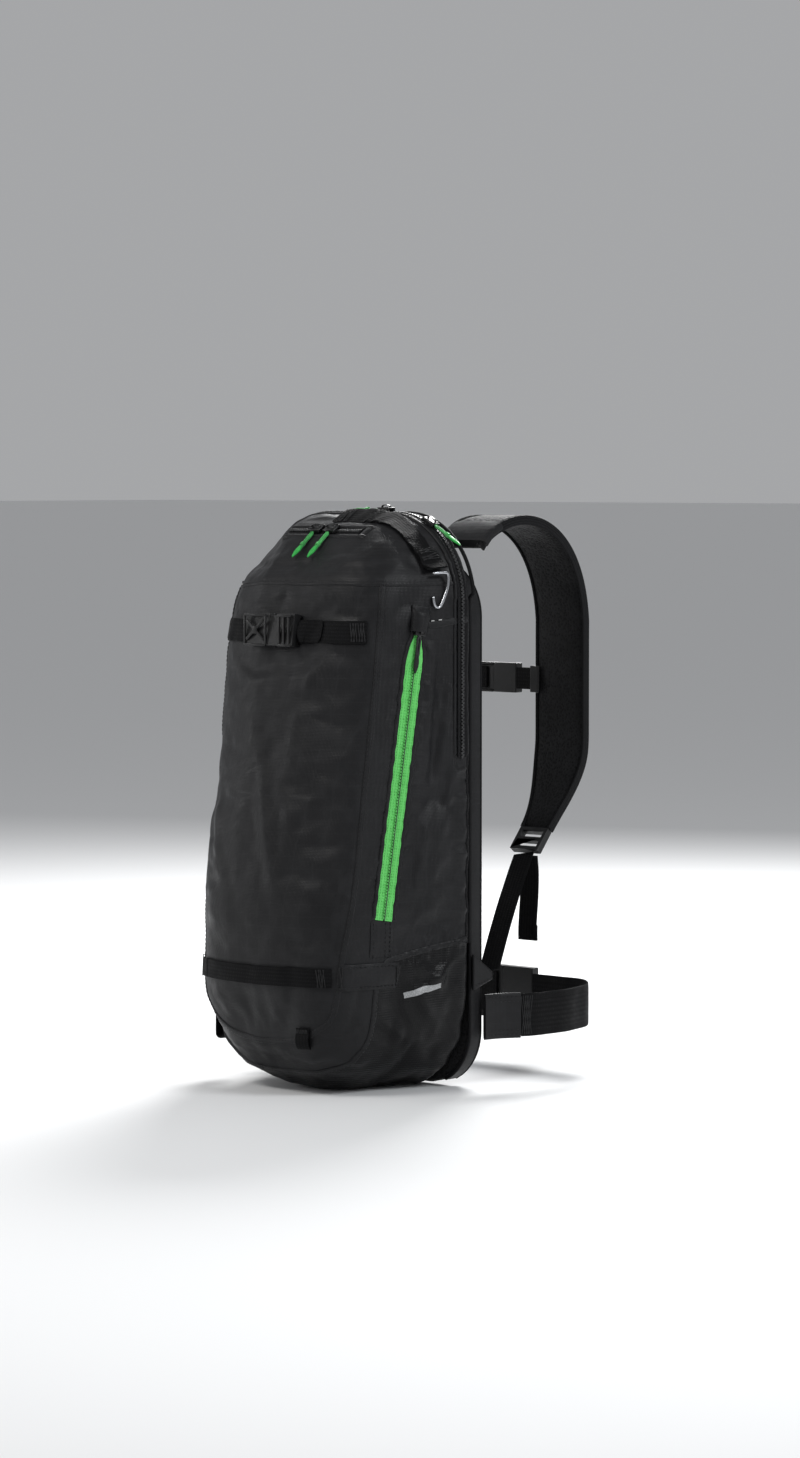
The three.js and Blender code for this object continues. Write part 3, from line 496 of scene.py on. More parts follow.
def frames_along(points, up):
    """(point, along, across, up) at each point; up is one direction or one for each point."""
    out = []
    for i, p in enumerate(points):
        along = heading(points, i)
        lift = Vector(up[i] if isinstance(up, list) else up)
        across = along.cross(lift).normalized()
        out.append((p, along, across, across.cross(along).normalized()))
    return out


def band(piece, points, up, width, thickness, material=0, around=12, ends=0.0):
    """A flat band of rounded section swept along points; ends rounds off that length at both ends.

    width and thickness are numbers or functions of 0..1.
    """
    fr = frames_along(points, up)
    rows = len(points) - 1
    wide = width if callable(width) else (lambda t: width)
    thick = thickness if callable(thickness) else (lambda t: thickness)
    length = path_length(points)

    def place(s, t):
        p, _, across, lift = fr[round(t * rows)]
        w, h = wide(t) / 2, thick(t) / 2
        edge = 1.0
        if ends:
            near = min(t, 1 - t) * length
            edge = math.sqrt(max(0.02, 1 - max(0.0, 1 - near / ends) ** 2))
        a = s * 2 * math.pi
        c, n = math.cos(a), math.sin(a)
        x = math.copysign(abs(c) ** 0.35, c) * w
        y = math.copysign(abs(n) ** 0.5, n) * h
        return p + across * x * (1 if not ends else (0.5 + 0.5 * edge)) + lift * y * edge

    return piece.sheet(around, rows, place, (2 * (wide(0.5) + thick(0.5)), length), material)


def tube(piece, points, radius, material=0, around=10):
    """A round cord along points; radius is a number or a function of 0..1."""
    r = radius if callable(radius) else (lambda t: radius)
    fr = []
    lift = Vector((0.3, 0.2, 1)).normalized()
    for i, p in enumerate(points):
        along = heading(points, i)
        lift = (lift - along * lift.dot(along)).normalized()
        fr.append((p, along.cross(lift), lift))
    rows = len(points) - 1

    def place(s, t):
        p, across, up = fr[round(t * rows)]
        a = s * 2 * math.pi
        return p + (across * math.cos(a) + up * math.sin(a)) * r(t)

    size = 2 * math.pi * (radius if not callable(radius) else radius(0.5))
    return piece.sheet(around, rows, place, (size, path_length(points)), material)


def stitches(piece, points, up, length=0.0026, gap=0.0012, width=0.0007, lift=0.0003, offset=0.0, material=0):
    """A row of stitches along a line: each is a small rounded bar."""
    total = path_length(points)
    count = max(1, int(total / (length + gap)))
    dense = smooth_path(points, count * 2 + 1)
    ups = up if isinstance(up, list) else [up] * len(points)
    for i in range(count):
        a, b = dense[2 * i], dense[2 * i + 1]
        along = (b - a).normalized()
        n = Vector(ups[min(len(ups) - 1, round((2 * i + 0.5) / (2 * count) * (len(ups) - 1)))])
        across = along.cross(n).normalized()
        n = across.cross(along)
        centre = (a + b) / 2 + across * offset + n * lift
        turn = Matrix((along, across, n)).transposed()
        made = bmesh.ops.create_cube(piece.bm, size=1)["verts"]
        for v in made:
            if v.co.z > 0:
                v.co.x *= 0.7
                v.co.y *= 0.6
        bmesh.ops.scale(piece.bm, vec=Vector((length, width, width * 0.7)), verts=made)
        bmesh.ops.transform(piece.bm, verts=made, matrix=Matrix.Translation(centre) @ turn.to_4x4())
        for f in faces_of(made):
            f.material_index = material


def refined(node, material, bevel=0.0006, segments=2):
    """A merged copy of a CAD node with its sharp edges rounded."""
    mesh = frame["nodes"][node].data.copy()
    bm = bmesh.new()
    bm.from_mesh(mesh)
    bmesh.ops.remove_doubles(bm, verts=bm.verts, dist=1e-5)
    bmesh.ops.dissolve_limit(bm, angle_limit=math.radians(1), verts=bm.verts, edges=bm.edges)
    bm.to_mesh(mesh)
    bm.free()
    mesh.materials.clear()
    mesh.materials.append(material)
    for polygon in mesh.polygons:
        polygon.use_smooth = True
    mesh.set_sharp_from_angle(angle=math.radians(35))
    obj = link(mesh, node + "_moulded")
    rounding = obj.modifiers.new("rounding", "BEVEL")
    rounding.width, rounding.segments, rounding.limit_method = bevel, segments, "ANGLE"
    rounding.angle_limit, rounding.harden_normals = math.radians(35), False
    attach(obj, frame["nodes"][node]["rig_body"])
    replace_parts(obj, node)
    return obj


# ---------------------------------------------------------------- the bag's body

UNDERSIDE = ((0, 62, 57.5, 20, 3), (6, 50, 43.5, 14, 1), (18, 32, 25.5, 8, 0), (42, 15, 9.5, 2, 0),
             (80, 4, 1.5, 0, 0), (160, 0, 0, 0, 0))
STATIONS = [(z, -78 + f, 75 - b, 117.5 - h, 50 - r) for z, f, h, r, b in UNDERSIDE]
for step in range(7):
    lean = math.radians(15 * step)
    flat, rise = math.cos(lean), math.sin(lean)
    STATIONS.append((425 + 75 * rise, 42 - 79 * flat ** 2, 75 - 3 * (1 - flat), 117.5 - 75 * (1 - flat),
                     14 + 36 * flat ** 2))
SIDE_TAPER = 0.25
LEAN = math.hypot(1, SIDE_TAPER)
ZIP_TOP, ZIP_FOOT = Vector((0.1032, 0.0179, 0.402)), Vector((0.09425, -0.018, 0.146))


def section(z):
    """Front, back, half width and front corner radius of the bag at a height, in mm."""
    z = min(max(z, STATIONS[0][0]), STATIONS[-1][0])
    for low, high in zip(STATIONS, STATIONS[1:]):
        if z <= high[0]:
            t = (z - low[0]) / (high[0] - low[0])
            return [a + (b - a) * t for a, b in zip(low[1:], high[1:])]
    return list(STATIONS[-1][1:])


def outline(z):
    """Half of the bag's plan outline at a height, from the front centre to the back centre, in mm."""
    front, back, half, radius = section(z)
    corner_y, rear_y = front + radius, back - 8
    corner_x = half - SIDE_TAPER * (back - corner_y) - radius * LEAN
    rear_x = half - SIDE_TAPER * (back - rear_y) - 8 * LEAN
    turn = math.atan(SIDE_TAPER)
    out = [(corner_x * i / 10, front) for i in range(10)]
    for i in range(13):
        a = -math.pi / 2 + (math.pi / 2 - turn) * i / 12
        out.append((corner_x + radius * math.cos(a), corner_y + radius * math.sin(a)))
    x0, y0 = out[-1]
    x1, y1 = rear_x + 8 * math.cos(-turn), rear_y + 8 * math.sin(-turn)
    out += [(x0 + (x1 - x0) * i / 14, y0 + (y1 - y0) * i / 14) for i in range(1, 14)]
    for i in range(7):
        a = -turn + (math.pi / 2 + turn) * i / 6
        out.append((rear_x + 8 * math.cos(a), rear_y + 8 * math.sin(a)))
    out += [(rear_x * (1 - i / 8), back) for i in range(1, 9)]
    return out


def side_x(y, z):
    """Half width of the bag's outline at a depth and height, in mm."""
    pts = outline(z)
    for a, b in zip(pts, pts[1:]):
        if b[1] >= y and b[1] > a[1]:
            return a[0] + (b[0] - a[0]) * max(0.0, (y - a[1]) / (b[1] - a[1]))
    return pts[40][0]


def on_side(*spots):
    return [(side_x(y, z), y, z) for y, z in spots]


BASE_SEAM = on_side((74, 133), (58, 130), (20, 124), (0, 120), (-11, 117.5), (-18, 111), (-22.5, 99),
                    (-24.4, 84),
                    (-24, 66), (-24.5, 52), (-30.5, 37.4), (-36, 26)) + [(31, section(18.6)[0], 18.6),
                                                                         (0, section(17.5)[0], 17.5)]
FRONT_SEAM = on_side((-13.2, 440), (-22, 365), (-32, 285), (-38, 235), (-44.5, 183.5), (-50, 150),
                     (-54.3, 122.6),
                     (-58, 74), (-63, 58.3)) + [(36, section(48.7)[0], 48.7), (0, section(46)[0], 46)]
TOP_SEAM = on_side((56, 440), (30, 440), (0, 440), (-16, 440), (-26, 440)) + [(30, section(440)[0], 440),
                                                                              (0, section(440)[0], 440)]
SIDE_SEAM = on_side((24, 404), (40, 405.5), (58, 408), (73, 409))
REAR_EDGE = [(side_x(73.6, z), 73.6, z) for z in range(128, 426, 33)] + [
    (42.5 + 75 * math.cos(math.radians(a)) - 0.7, 73.2, 425 + 75 * math.sin(math.radians(a)))
                                                                         for a in range(5, 90, 12)] + [
    (36, 72.6, 499.6), (0, 72.6, 499.6)]
ARCH_ZIP = [(114.3, 62, z) for z in range(290, 426, 27)] + [
    (39.25 + 75 * math.cos(math.radians(a)), 62, 425 + 75 * math.sin(math.radians(a)))
                                                            for a in range(5, 91, 8)] + [(0, 62, 500)]


def line(spots, whole=False, step=2.5):
    """An even path in metres along spots given in mm; whole=True runs on into its mirror image."""
    pts = [Vector(p) * MM for p in spots]
    if whole:
        pts += [Vector((-p.x, p.y, p.z)) for p in reversed(pts[:-1])]
    return smooth_path(pts, max(4, int(path_length(pts) / (step * MM))))


SEWN = KDTree(4000)
for spots in (BASE_SEAM, FRONT_SEAM, TOP_SEAM, REAR_EDGE, ARCH_ZIP):
    for point in line(spots, whole=True):
        SEWN.insert(point, 0)
for point in line(SIDE_SEAM):
    SEWN.insert(point, 0)
SEWN.balance()
HARDWARE = [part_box(n) for n in ("front_buckle_female", "front_buckle_male", "tri_glide", "tool_loop",
                                "ski_hook",
                                "strap_sleeve_right", "side_zip_patch")]


def near_fixed(p):
    """1 where the cloth is sewn to a seam, a zip or hardware, falling to 0 between them."""
    d = min(SEWN.find(p)[2], max(0.0, to_segment(p, ZIP_TOP, ZIP_FOOT)[0] - 0.008) if p.x > 0 else 1.0,
            max(0.0, 0.073 - p.y))
    if p.z > 0.44:
        d = min(d, to_box(p, (-0.045, 0.008, 0.47), (0.045, 0.017, 0.5)))
    for low, high in HARDWARE:
        d = min(d, to_box(p, low, high) * 1.3)
    return 1 - smoothstep(d, 0.003, 0.026)


def is_base(p):
    """Whether a point of the body belongs to the coated base panel."""
    y, z = p.y / MM, p.z / MM
    if z > 133 or z > 117 + 0.18 * (y + 14):
        return False
    edge = ((16, -90), (18.6, -46), (26, -36), (37.4, -30.5), (52, -24.5), (66, -24), (84, -24.4),
            (99, -22.5),
            (111, -18), (117.5, -11), (134, -11))
    for (z0, y0), (z1, y1) in zip(edge, edge[1:]):
        if z <= z1:
            return z < 16 or y > y0 + (y1 - y0) * (z - z0) / (z1 - z0)
    return True


FOLD_GAIN = 1.9  # how much higher the folds stand than the heights listed for them


def folds_of_shell():
    """(a, b, half width, height) of the creases and gathers in the cloth, in mm."""
    rng = random.Random(7)
    out = [((-40, -72, 383), (-5, -66, 300), 5, 2.2), ((20, -58, 383), (-2, -66, 305), 4.5, 2.0),
           ((-60, -60, 380), (-48, -68, 320), 5, 1.6), ((46, -50, 383), (30, -60, 330), 5, 1.8),
           ((-20, -72, 380), (-14, -74, 340), 3.5, -1.6), ((8, -70, 380), (6, -74, 345), 3.5, -1.5),
           ((-70, -50, 260), (-30, -74, 150), 7, 2.0), ((30, -66, 250), (52, -52, 150), 6, 1.8),
           ((-84, -30, 300), (-92, -35, 180), 6, -2.0), ((66, -40, 330), (80, -22, 230), 5, 1.7),
           ((70, -40, 210), (50, -60, 120), 6, 1.6), ((-40, -20, 440), (-70, -5, 400), 5, 1.8),
           ((0, -20, 452), (-15, -33, 420), 5, 1.6), ((50, -10, 452), (70, 0, 415), 5, 1.8),
           ((99, 0, 112), (108, 40, 60), 7, 2.4), ((100, 14, 116), (104, 52, 90), 6, 2.0),
           ((92, -18, 70), (96, 30, 34), 7, 2.2),
           ((70, -40, 30), (96, 10, 22), 6, 2.0), ((112, 60, 118), (103, 20, 86), 5, 1.8),
           ((30, -60, 30), (70, -46, 38), 5, 1.4),
           ((105, 34, 392), (100, 26, 300), 5, 1.8), ((108, 46, 360), (101, 30, 240), 5, -1.8),
           ((104, 30, 250), (99, 12, 160), 6, 1.9),
           ((112, 62, 300), (104, 34, 200), 5, 1.5), ((-50, -66, 330), (-60, -70, 200), 7, 2.2),
           ((-10, -70, 300), (20, -74, 180), 8, 2.0)]
    for i in range(9):
        x = 100 + rng.uniform(-2, 4)
        y = 26 + i * 4.6
        top = 455 - abs(y - 45) * 0.4 + rng.uniform(-6, 6)
        out.append(((x - 8, y, top), (x + 4, y + rng.uniform(-4, 4), top - rng.uniform(40, 90)),
                    rng.uniform(2.2, 3.2), rng.uniform(1.1, 1.9) * (1 if i % 2 else -1)))
    for i in range(24):
        z = 118 + i * 12.4 + rng.uniform(-3, 3)
        deep = rng.uniform(9, 24)
        out.append(((117, 72, z), (117 - deep * 0.25, 72 - deep, z + rng.uniform(-4, 4)),
                    rng.uniform(1.6, 2.6), rng.uniform(0.7, 1.3) * (1 if i % 2 else -0.8)))
    for i in range(20):
        t = (i + rng.uniform(0.2, 0.8)) / 20
        spot = ZIP_TOP.lerp(ZIP_FOOT, t) / MM
        out.append(((spot.x + 2.2, spot.y + 9.5, spot.z), (spot.x + 4.5, spot.y + 9.5 + rng.uniform(5, 11),
                                                           spot.z - 2),
                    rng.uniform(1.4, 2.2), rng.uniform(0.6, 1.1) * (1 if i % 2 else -1)))
        out.append(((spot.x - 2.2, spot.y - 9.5, spot.z), (spot.x - 4.5, spot.y - 9.5 - rng.uniform(3, 7),
                                                           spot.z),
                    rng.uniform(1.4, 2.0), rng.uniform(0.5, 0.9) * (1 if i % 2 else -1)))
    for i in range(16):
        y = -10 + i * 5.3 + rng.uniform(-1.5, 1.5)
        z = 120 + 0.18 * y
        for way in (1, -1):
            out.append(((98.75 + 0.25 * y, y, z + way), (98.75 + 0.25 * y, y + rng.uniform(-3, 3), z
                                                         + way * rng.uniform(7, 15)),
                        rng.uniform(1.5, 2.4), rng.uniform(0.5, 1.0) * (1 if i % 2 else -1)))
    return [(Vector(a) * MM, Vector(b) * MM, w * MM, h * MM * FOLD_GAIN) for a, b, w, h in out]


CELL = 0.03  # edge of the grid that finds the folds near a point


def crease_cloth(bm, folds):
    """Raises or sinks the cloth along each fold, fading out at its ends."""
    from_cell = {}
    size = CELL
    for fold in folds:
        a, b = fold[:2]
        steps = max(1, int((b - a).length / (size / 2)))
        for k in range(steps + 1):
            c = a.lerp(b, k / steps)
            for dx in (-1, 0, 1):
                for dy in (-1, 0, 1):
                    for dz in (-1, 0, 1):
                        key = (int(c.x // size) + dx, int(c.y // size) + dy, int(c.z // size) + dz)
                        from_cell.setdefault(key, set()).add(id(fold))
    named = {id(fold): fold for fold in folds}
    bm.normal_update()
    for v in bm.verts:
        hits = from_cell.get((int(v.co.x // size), int(v.co.y // size), int(v.co.z // size)))
        push = noise.noise(v.co * 26) * 0.0016 + noise.noise(v.co * 70) * 0.0006
        for key in hits or ():
            a, b, wide, high = named[key]
            d, t = to_segment(v.co, a, b)
            if d < wide * 3:
                push += high * math.exp(-(d / wide) ** 2) * math.sin(math.pi * min(1,
                                                                                   max(0, 0.12 + t * 0.82)))
        v.co += v.normal * push


SIDE_OUT = Vector((1, -SIDE_TAPER, 0)).normalized()


def seat_cloth(bm):
    """Beds the cloth under the zips, and keeps it off the floor."""
    for v in bm.verts:
        p = v.co
        if p.z < 0.0006:
            p.z = 0.0006 + (p.z - 0.0006) * 0.05
        if p.x > 0.05 and 0.13 < p.z < 0.43:
            d = to_segment(p, ZIP_TOP, ZIP_FOOT)[0]
            weight = 1 - smoothstep(d, 0.0085, 0.014)
            if weight:
                high = (p - Vector((0.09875, 0, 0))).dot(SIDE_OUT)
                v.co = p - SIDE_OUT * (high + 0.0007) * weight
        if p.z > 0.47 and abs(p.x) < 0.05:
            d = abs((p.y - 0.0124) * 0.857 + (p.z - 0.4843) * 0.515)
            high = (p.y - 0.0124) * -0.515 + (p.z - 0.4843) * 0.857
            weight = (1 - smoothstep(d, 0.006, 0.011)) * (1 - smoothstep(abs(p.x), 0.042, 0.05))
            if abs(high) < 0.008:
                v.co = v.co - Vector((0, -0.515, 0.857)) * (high + 0.0007) * weight
        if p.z > 0.28 and abs(p.y - 0.062) < 0.012:
            weight = 1 - smoothstep(abs(p.y - 0.062), 0.005, 0.009)
            v.co = v.co.lerp(arch_surface(v.co, -0.0007), weight)


def arch_surface(p, lift):
    """The nearest point of the bag's arched outline at the depth of the main zip, raised by lift."""
    sign = 1 if p.x >= 0 else -1
    if p.z < 0.425:
        x = side_x(p.y / MM, p.z / MM) * MM
        return Vector((sign * (x + lift), p.y, p.z))
    if abs(p.x) < 0.03925:
        return Vector((p.x, p.y, 0.5 + lift))
    out = Vector((abs(p.x) - 0.03925, 0, p.z - 0.425)).normalized()
    spot = Vector((0.03925, p.y, 0.425)) + out * (0.075 + lift)
    return Vector((sign * spot.x, spot.y, spot.z))


# how far the empty upper left of the bag is drawn in: (height, distance) in mm
SLACK_LEFT = ((230, 0), (250, 3), (300, 4), (340, 3), (382, 4), (418, 7), (440, 11), (453, 16), (475, 15),
              (490, 10), (500, 5))


VOXEL, SHELL_CAP = 0.005, 0.0065


def make_shell():
    """The bag's body: lofted, remeshed, filled as cloth, creased, and bedded under its zips."""
    heights = [0, 3, 6, 12, 18, 30, 42, 60] + [80 + (425 - 80) * i / 40 for i in range(41)]
    heights += [425 + 75 * math.sin(math.radians(a)) for a in range(5, 91, 5)]
    rows = len(heights) - 1
    columns = (len(outline(100)) - 1) * 2
    half = columns // 2

    def place(s, t):
        z = heights[round(t * rows)]
        k = round(s * columns)
        pts = outline(z)
        x, y = pts[k] if k <= half else pts[columns - k]
        if k > half:
            x = -x
        centre = Vector((0, 12, min(max(z, 70), 430)))
        p = Vector((x, y, z))
        loose = 1 - near_fixed(p * MM)
        away = (p - centre).normalized()
        lower_left = smoothstep(-x, 0, 60) * smoothstep(-y, -60, 0) * smoothstep(-z, -110, -20)
        p -= away * (3.0 * loose + 5 * lower_left)
        slack = 0.0
        for (z0, d0), (z1, d1) in zip(SLACK_LEFT, SLACK_LEFT[1:]):
            if z0 <= z <= z1:
                slack = d0 + (d1 - d0) * (z - z0) / (z1 - z0)
        slack *= smoothstep(-x, 25, 72) * smoothstep(-y, -58, -30)
        return (p + Vector((0.743, 0.669, 0)) * slack) * MM

    piece = Piece()
    piece.sheet(columns, rows, place)
    mesh = bpy.data.meshes.new("shell")
    piece.bm.to_mesh(mesh)
    piece.bm.free()
    shell = link(mesh, "shell")
    remesh = shell.modifiers.new("remesh", "REMESH")
    remesh.mode, remesh.voxel_size, remesh.adaptivity = "VOXEL", VOXEL, 0.0
    baked(shell)
    swell(shell, near_fixed, SHELL_CAP)
    divide = shell.modifiers.new("divide", "SUBSURF")
    divide.levels = divide.render_levels = 1
    baked(shell)
    bm = bmesh.new()
    bm.from_mesh(shell.data)
    crease_cloth(bm, folds_of_shell())
    seat_cloth(bm)
    bm.to_mesh(shell.data)
    bm.free()
    return shell


PRESSURE, SHRINK = 4.0, -0.012


def swell(obj, held, cap, frames=20, seed_push=0.0004):
    """Fills a closed cloth form with pressure, held where it is sewn down, and keeps each point within cap."""
    mesh = obj.data
    before = [v.co.copy() for v in mesh.vertices]
    group = obj.vertex_groups.new(name="held")
    for v in mesh.vertices:
        weight = held(v.co)
        if weight > 0.02:
            group.add([v.index], weight, "REPLACE")
        v.co += v.normal * seed_push * noise.noise(v.co * 60)
    cloth = obj.modifiers.new("cloth", "CLOTH")
    s = cloth.settings
    s.quality, s.mass = 5, 0.15
    s.tension_stiffness = s.compression_stiffness = 12
    s.shear_stiffness, s.bending_stiffness = 4, 0.35
    s.use_pressure, s.uniform_pressure_force = True, PRESSURE
    s.effector_weights.gravity = 0
    s.vertex_group_mass, s.pin_stiffness = "held", 1
    s.shrink_min = SHRINK
    cloth.collision_settings.use_collision = False
    cloth.point_cache.frame_start, cloth.point_cache.frame_end = 1, frames
    scene = bpy.context.scene
    for number in range(1, frames + 1):
        scene.frame_set(number)
    baked(obj)
    for v, old in zip(obj.data.vertices, before):
        move = v.co - old
        if move.length > cap:
            v.co = old + move * (cap / move.length)
    obj.vertex_groups.clear()
    scene.frame_set(1)
    return obj


shell = make_shell()
bag_surface = BVHTree.FromObject(shell, bpy.context.evaluated_depsgraph_get())


def split_shell():
    """The body as two sewn pieces: the coated base and the woven upper."""
    upper = shell.data
    base = upper.copy()
    for mesh, keep_low, name, material, slot in ((base, True, "base_cloth", BASE, "base_fabric"),
                                                 (upper, False, "body_cloth", SHELL, "shell_fabric")):
        bm = bmesh.new()
        bm.from_mesh(mesh)
        drop = [f for f in bm.faces if is_base(f.calc_center_median()) != keep_low]
        bmesh.ops.delete(bm, geom=drop, context="FACES")
        bm.to_mesh(mesh)
        bm.free()
        mesh.materials.clear()
        mesh.materials.append(material)
        for polygon in mesh.polygons:
            polygon.use_smooth = True
        obj = link(mesh, name)
        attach(obj, "bag")
        if keep_low:
            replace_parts(obj, "base_panel")
        else:
            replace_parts(obj, "back_wall", "front_panel", "top_panel", "side_panel_right", "side_panel_left")
    bpy.data.objects.remove(shell)


split_shell()


# ---------------------------------------------------------------- seams and zips

def on_bag(p):
    """The nearest point of the cloth, and the direction out of it there."""
    spot, normal, _, _ = bag_surface.find_nearest(p)
    return spot, normal


def draped(piece, points, width, height, material=0, columns=6, bow=0.6):
    """A sewn strip that follows the cloth: flat underneath, softly rounded on top."""
    fr = frames_along(points, evened([on_bag(p)[1] for p in points], 3))
    rows, around = len(points) - 1, 2 * (columns + 1)
    wide = width if callable(width) else (lambda t: width)

    def place(s, t):
        p, _, across, up = fr[round(t * rows)]
        k = round(s * around) % around
        upper = k <= columns
        q = k / columns if upper else 1 - (k - columns - 1) / columns
        x = (q - 0.5) * wide(t)
        spot = on_bag(p + across * x)[0]
        edge = 1 - abs(2 * q - 1) ** 4 * bow
        end = min(1.0, 0.25 + min(t, 1 - t) * rows / 2)
        return spot + up * (height * edge * end if upper else -0.0009)

    return piece.sheet(around, rows, place, (2 * wide(0.5), path_length(points)), material)


def ups_for(points):
    return [on_bag(p)[1] for p in points]


def sewn_row(piece, points, **how):
    """A row of stitches laid on the cloth."""
    stitches(piece, [on_bag(p)[0] for p in points], ups_for(points), **{"material": 1, **how})


def sewn_seam(piece, points, width=0.0052, height=0.0011, double=True):
    """A turned seam: a folded strip with a row of stitches in each edge."""
    draped(piece, points, width, height, 0)
    laid = [on_bag(p)[0] for p in points]
    up = ups_for(points)
    for way in ((1, -1) if double else (1,)):
        stitches(piece, laid, up, lift=height * 0.85, offset=way * width * 0.3, material=1)


seams = Piece()
for spots in (FRONT_SEAM, BASE_SEAM):
    sewn_seam(seams, line(spots, whole=True))
sewn_seam(seams, line(TOP_SEAM, whole=True), 0.0034, 0.0008, False)
seams.finish("panel_seams", "bag", [SHELL, THREAD], "shell_fabric")
cross_seam = Piece()
sewn_seam(cross_seam, line(SIDE_SEAM), 0.006, 0.0013)
for way in (1, -1):
    sewn_seam(cross_seam, line(SIDE_SEAM[:2] if way > 0 else SIDE_SEAM[2:]), 0.004, 0.001, False)
laid = line(on_side((30, 406.5), (45, 408)))
sewn_row(cross_seam, laid, length=0.0034, gap=0.0022, width=0.0011, lift=0.0016,
         offset=-0.0015, material=2)
cross_seam.finish("side_cross_seam", "bag", [SHELL, THREAD, PALE_THREAD], "shell_fabric")

piping = Piece()
edge = [p + Vector((0.0004 if p.x > 0 else -0.0004, 0.0006, 0)) for p in line(REAR_EDGE, whole=True, step=3)]
tube(piping, edge, 0.0017, 0, 10)
draped(piping, [p + Vector((0, -0.004, 0)) for p in edge], 0.006, 0.0009)
laid = [p + Vector((0, -0.0052, 0)) for p in edge]
sewn_row(piping, laid, lift=0.0009)
piping.finish("rear_piping", "bag", [BINDING, THREAD], "shell_fabric")


def coil_teeth(piece, points, ups, pitch=0.0013, wide=0.0021):
    """Two rows of coil teeth, each leaning into the other, along the middle of a zip."""
    count = int(path_length(points) / pitch)
    dense = smooth_path(points, count)
    for i, p in enumerate(dense[:-1]):
        along = (dense[i + 1] - p).normalized()
        up = Vector(ups[round(i / count * (len(ups) - 1))])
        across = along.cross(up).normalized()
        up = across.cross(along)
        side = 1 if i % 2 else -1
        turn = Matrix((along, across, up)).transposed() @ Matrix.Rotation(0.28 * side, 3, "Z")
        piece.block(p + across * side * wide * 0.38 + up * 0.0007, (pitch * 1.45, wide, 0.0013), 0.0003, turn,
                    segments=1)


TAPE_THICK = 0.0006


def flat_tape(piece, points, ups, start, width, material, narrow=None):
    """One half of a zip tape from the coil outwards; narrow(t) tapers it."""
    fr = frames_along(points, ups)
    rows = len(points) - 1

    def place(s, t):
        p, _, across, up = fr[round(t * rows)]
        k = round(s * 12) % 12
        q, high = (k / 5, 1) if k <= 5 else (1 - (k - 6) / 5, 0)
        taper = narrow(t) if narrow else 1
        ripple = 0.00012 * math.sin(t * rows * 1.7)
        return p + across * (start + width * q) * taper + up * (TAPE_THICK * high * (1 - 0.5 * (2 * q - 1) ** 6) - 0.0003 + ripple)

    return piece.sheet(12, rows, place, (2 * abs(width), path_length(points)), material)


# side zip
zip_line = [ZIP_TOP.lerp(ZIP_FOOT, i / 120) for i in range(-7, 118)]
zip_up = [SIDE_OUT] * len(zip_line)
closing = lambda t: 0.22 + 0.78 * smoothstep(t, 0.03, 0.17)
side_zip = Piece()
for way in (1, -1):
    flat_tape(side_zip, zip_line, zip_up, way * 0.0004, way * 0.0083, 0, narrow=closing)
    rows_of = [p + SIDE_OUT * 0.0004 for p in zip_line[22:]]
    for offset in (0.0027, 0.0043, 0.0071):
        stitches(side_zip, rows_of, zip_up, length=0.0014, gap=0.001, width=0.0004, lift=0.00005,
                 offset=way * offset,
                 material=1)
side_zip.finish("side_zip_green_tape", "bag", [GREEN, GREEN_THREAD], "green_tape")
teeth = Piece()
coil_teeth(teeth, zip_line[2:], zip_up, wide=0.0019)
# painted shade: a thin strip of the black coil material laid along the groove between the two rows of green teeth
band(teeth, [p + SIDE_OUT * 0.00135 for p in zip_line[2:]], SIDE_OUT, 0.0007, 0.0003, 1, 8)
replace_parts(teeth.finish("side_zip_coil", "bag", [COIL, COIL_GREY], "green_tape"), "side_zip_tape")

welts = Piece()
fr = frames_along(zip_line, zip_up)
rows = len(zip_line) - 1
for way in (1, -1):
    path = []
    for i, (p, _, across, _) in enumerate(fr):
        path.append(p + across * way * (0.0086 * closing(i / rows) + 0.0016
                                        + 0.0005 * math.sin(i * 0.9 + way) * (0.6
                                                                              + 0.4 * math.sin(i * 0.23))))
    draped(welts, path, 0.0042, 0.0014, 0, bow=0.8)
    path = [p + fr[i][2] * way * 0.0006 for i, p in enumerate(path)]
    sewn_row(welts, path, lift=0.0013, width=0.0006)
welts.finish("side_zip_welts", "bag", [SHELL, THREAD], "shell_fabric")


# arched zip over the top, and the pocket zip
arch_line = line(ARCH_ZIP, whole=True, step=2)
arch_up = [(arch_surface(p, 0.001) - arch_surface(p, 0)).normalized() for p in arch_line]
arch_line = [arch_surface(p, 0.0002) for p in arch_line]
arch = Piece()
for way in (1, -1):
    flat_tape(arch, arch_line, arch_up, way * 0.0013, way * 0.0042, 0)
    stitches(arch, [p + arch_up[i] * 0.0004 for i, p in enumerate(arch_line)], arch_up, lift=0.0001,
             width=0.0004,
             offset=way * 0.0042, material=1)
arch.finish("arch_zip_dark_tape", "bag", [DARK_TAPE, THREAD], "shell_fabric")
teeth = Piece()
coil_teeth(teeth, arch_line, arch_up, pitch=0.0016)
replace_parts(teeth.finish("arch_zip_coil", "bag", COIL_GREY, "shell_fabric"), "arch_zip_tape")
cover = Piece()
for way in (0.0072, -0.0072):
    shifted = [p + Vector((0, way, 0)) for p in arch_line]
    draped(cover, [on_bag(p)[0] for p in shifted], 0.0038, 0.0013, 0, bow=0.8)
    sewn_row(cover, shifted, lift=0.0012, width=0.0005)
cover.finish("arch_zip_welts", "bag", [SHELL, THREAD], "shell_fabric")

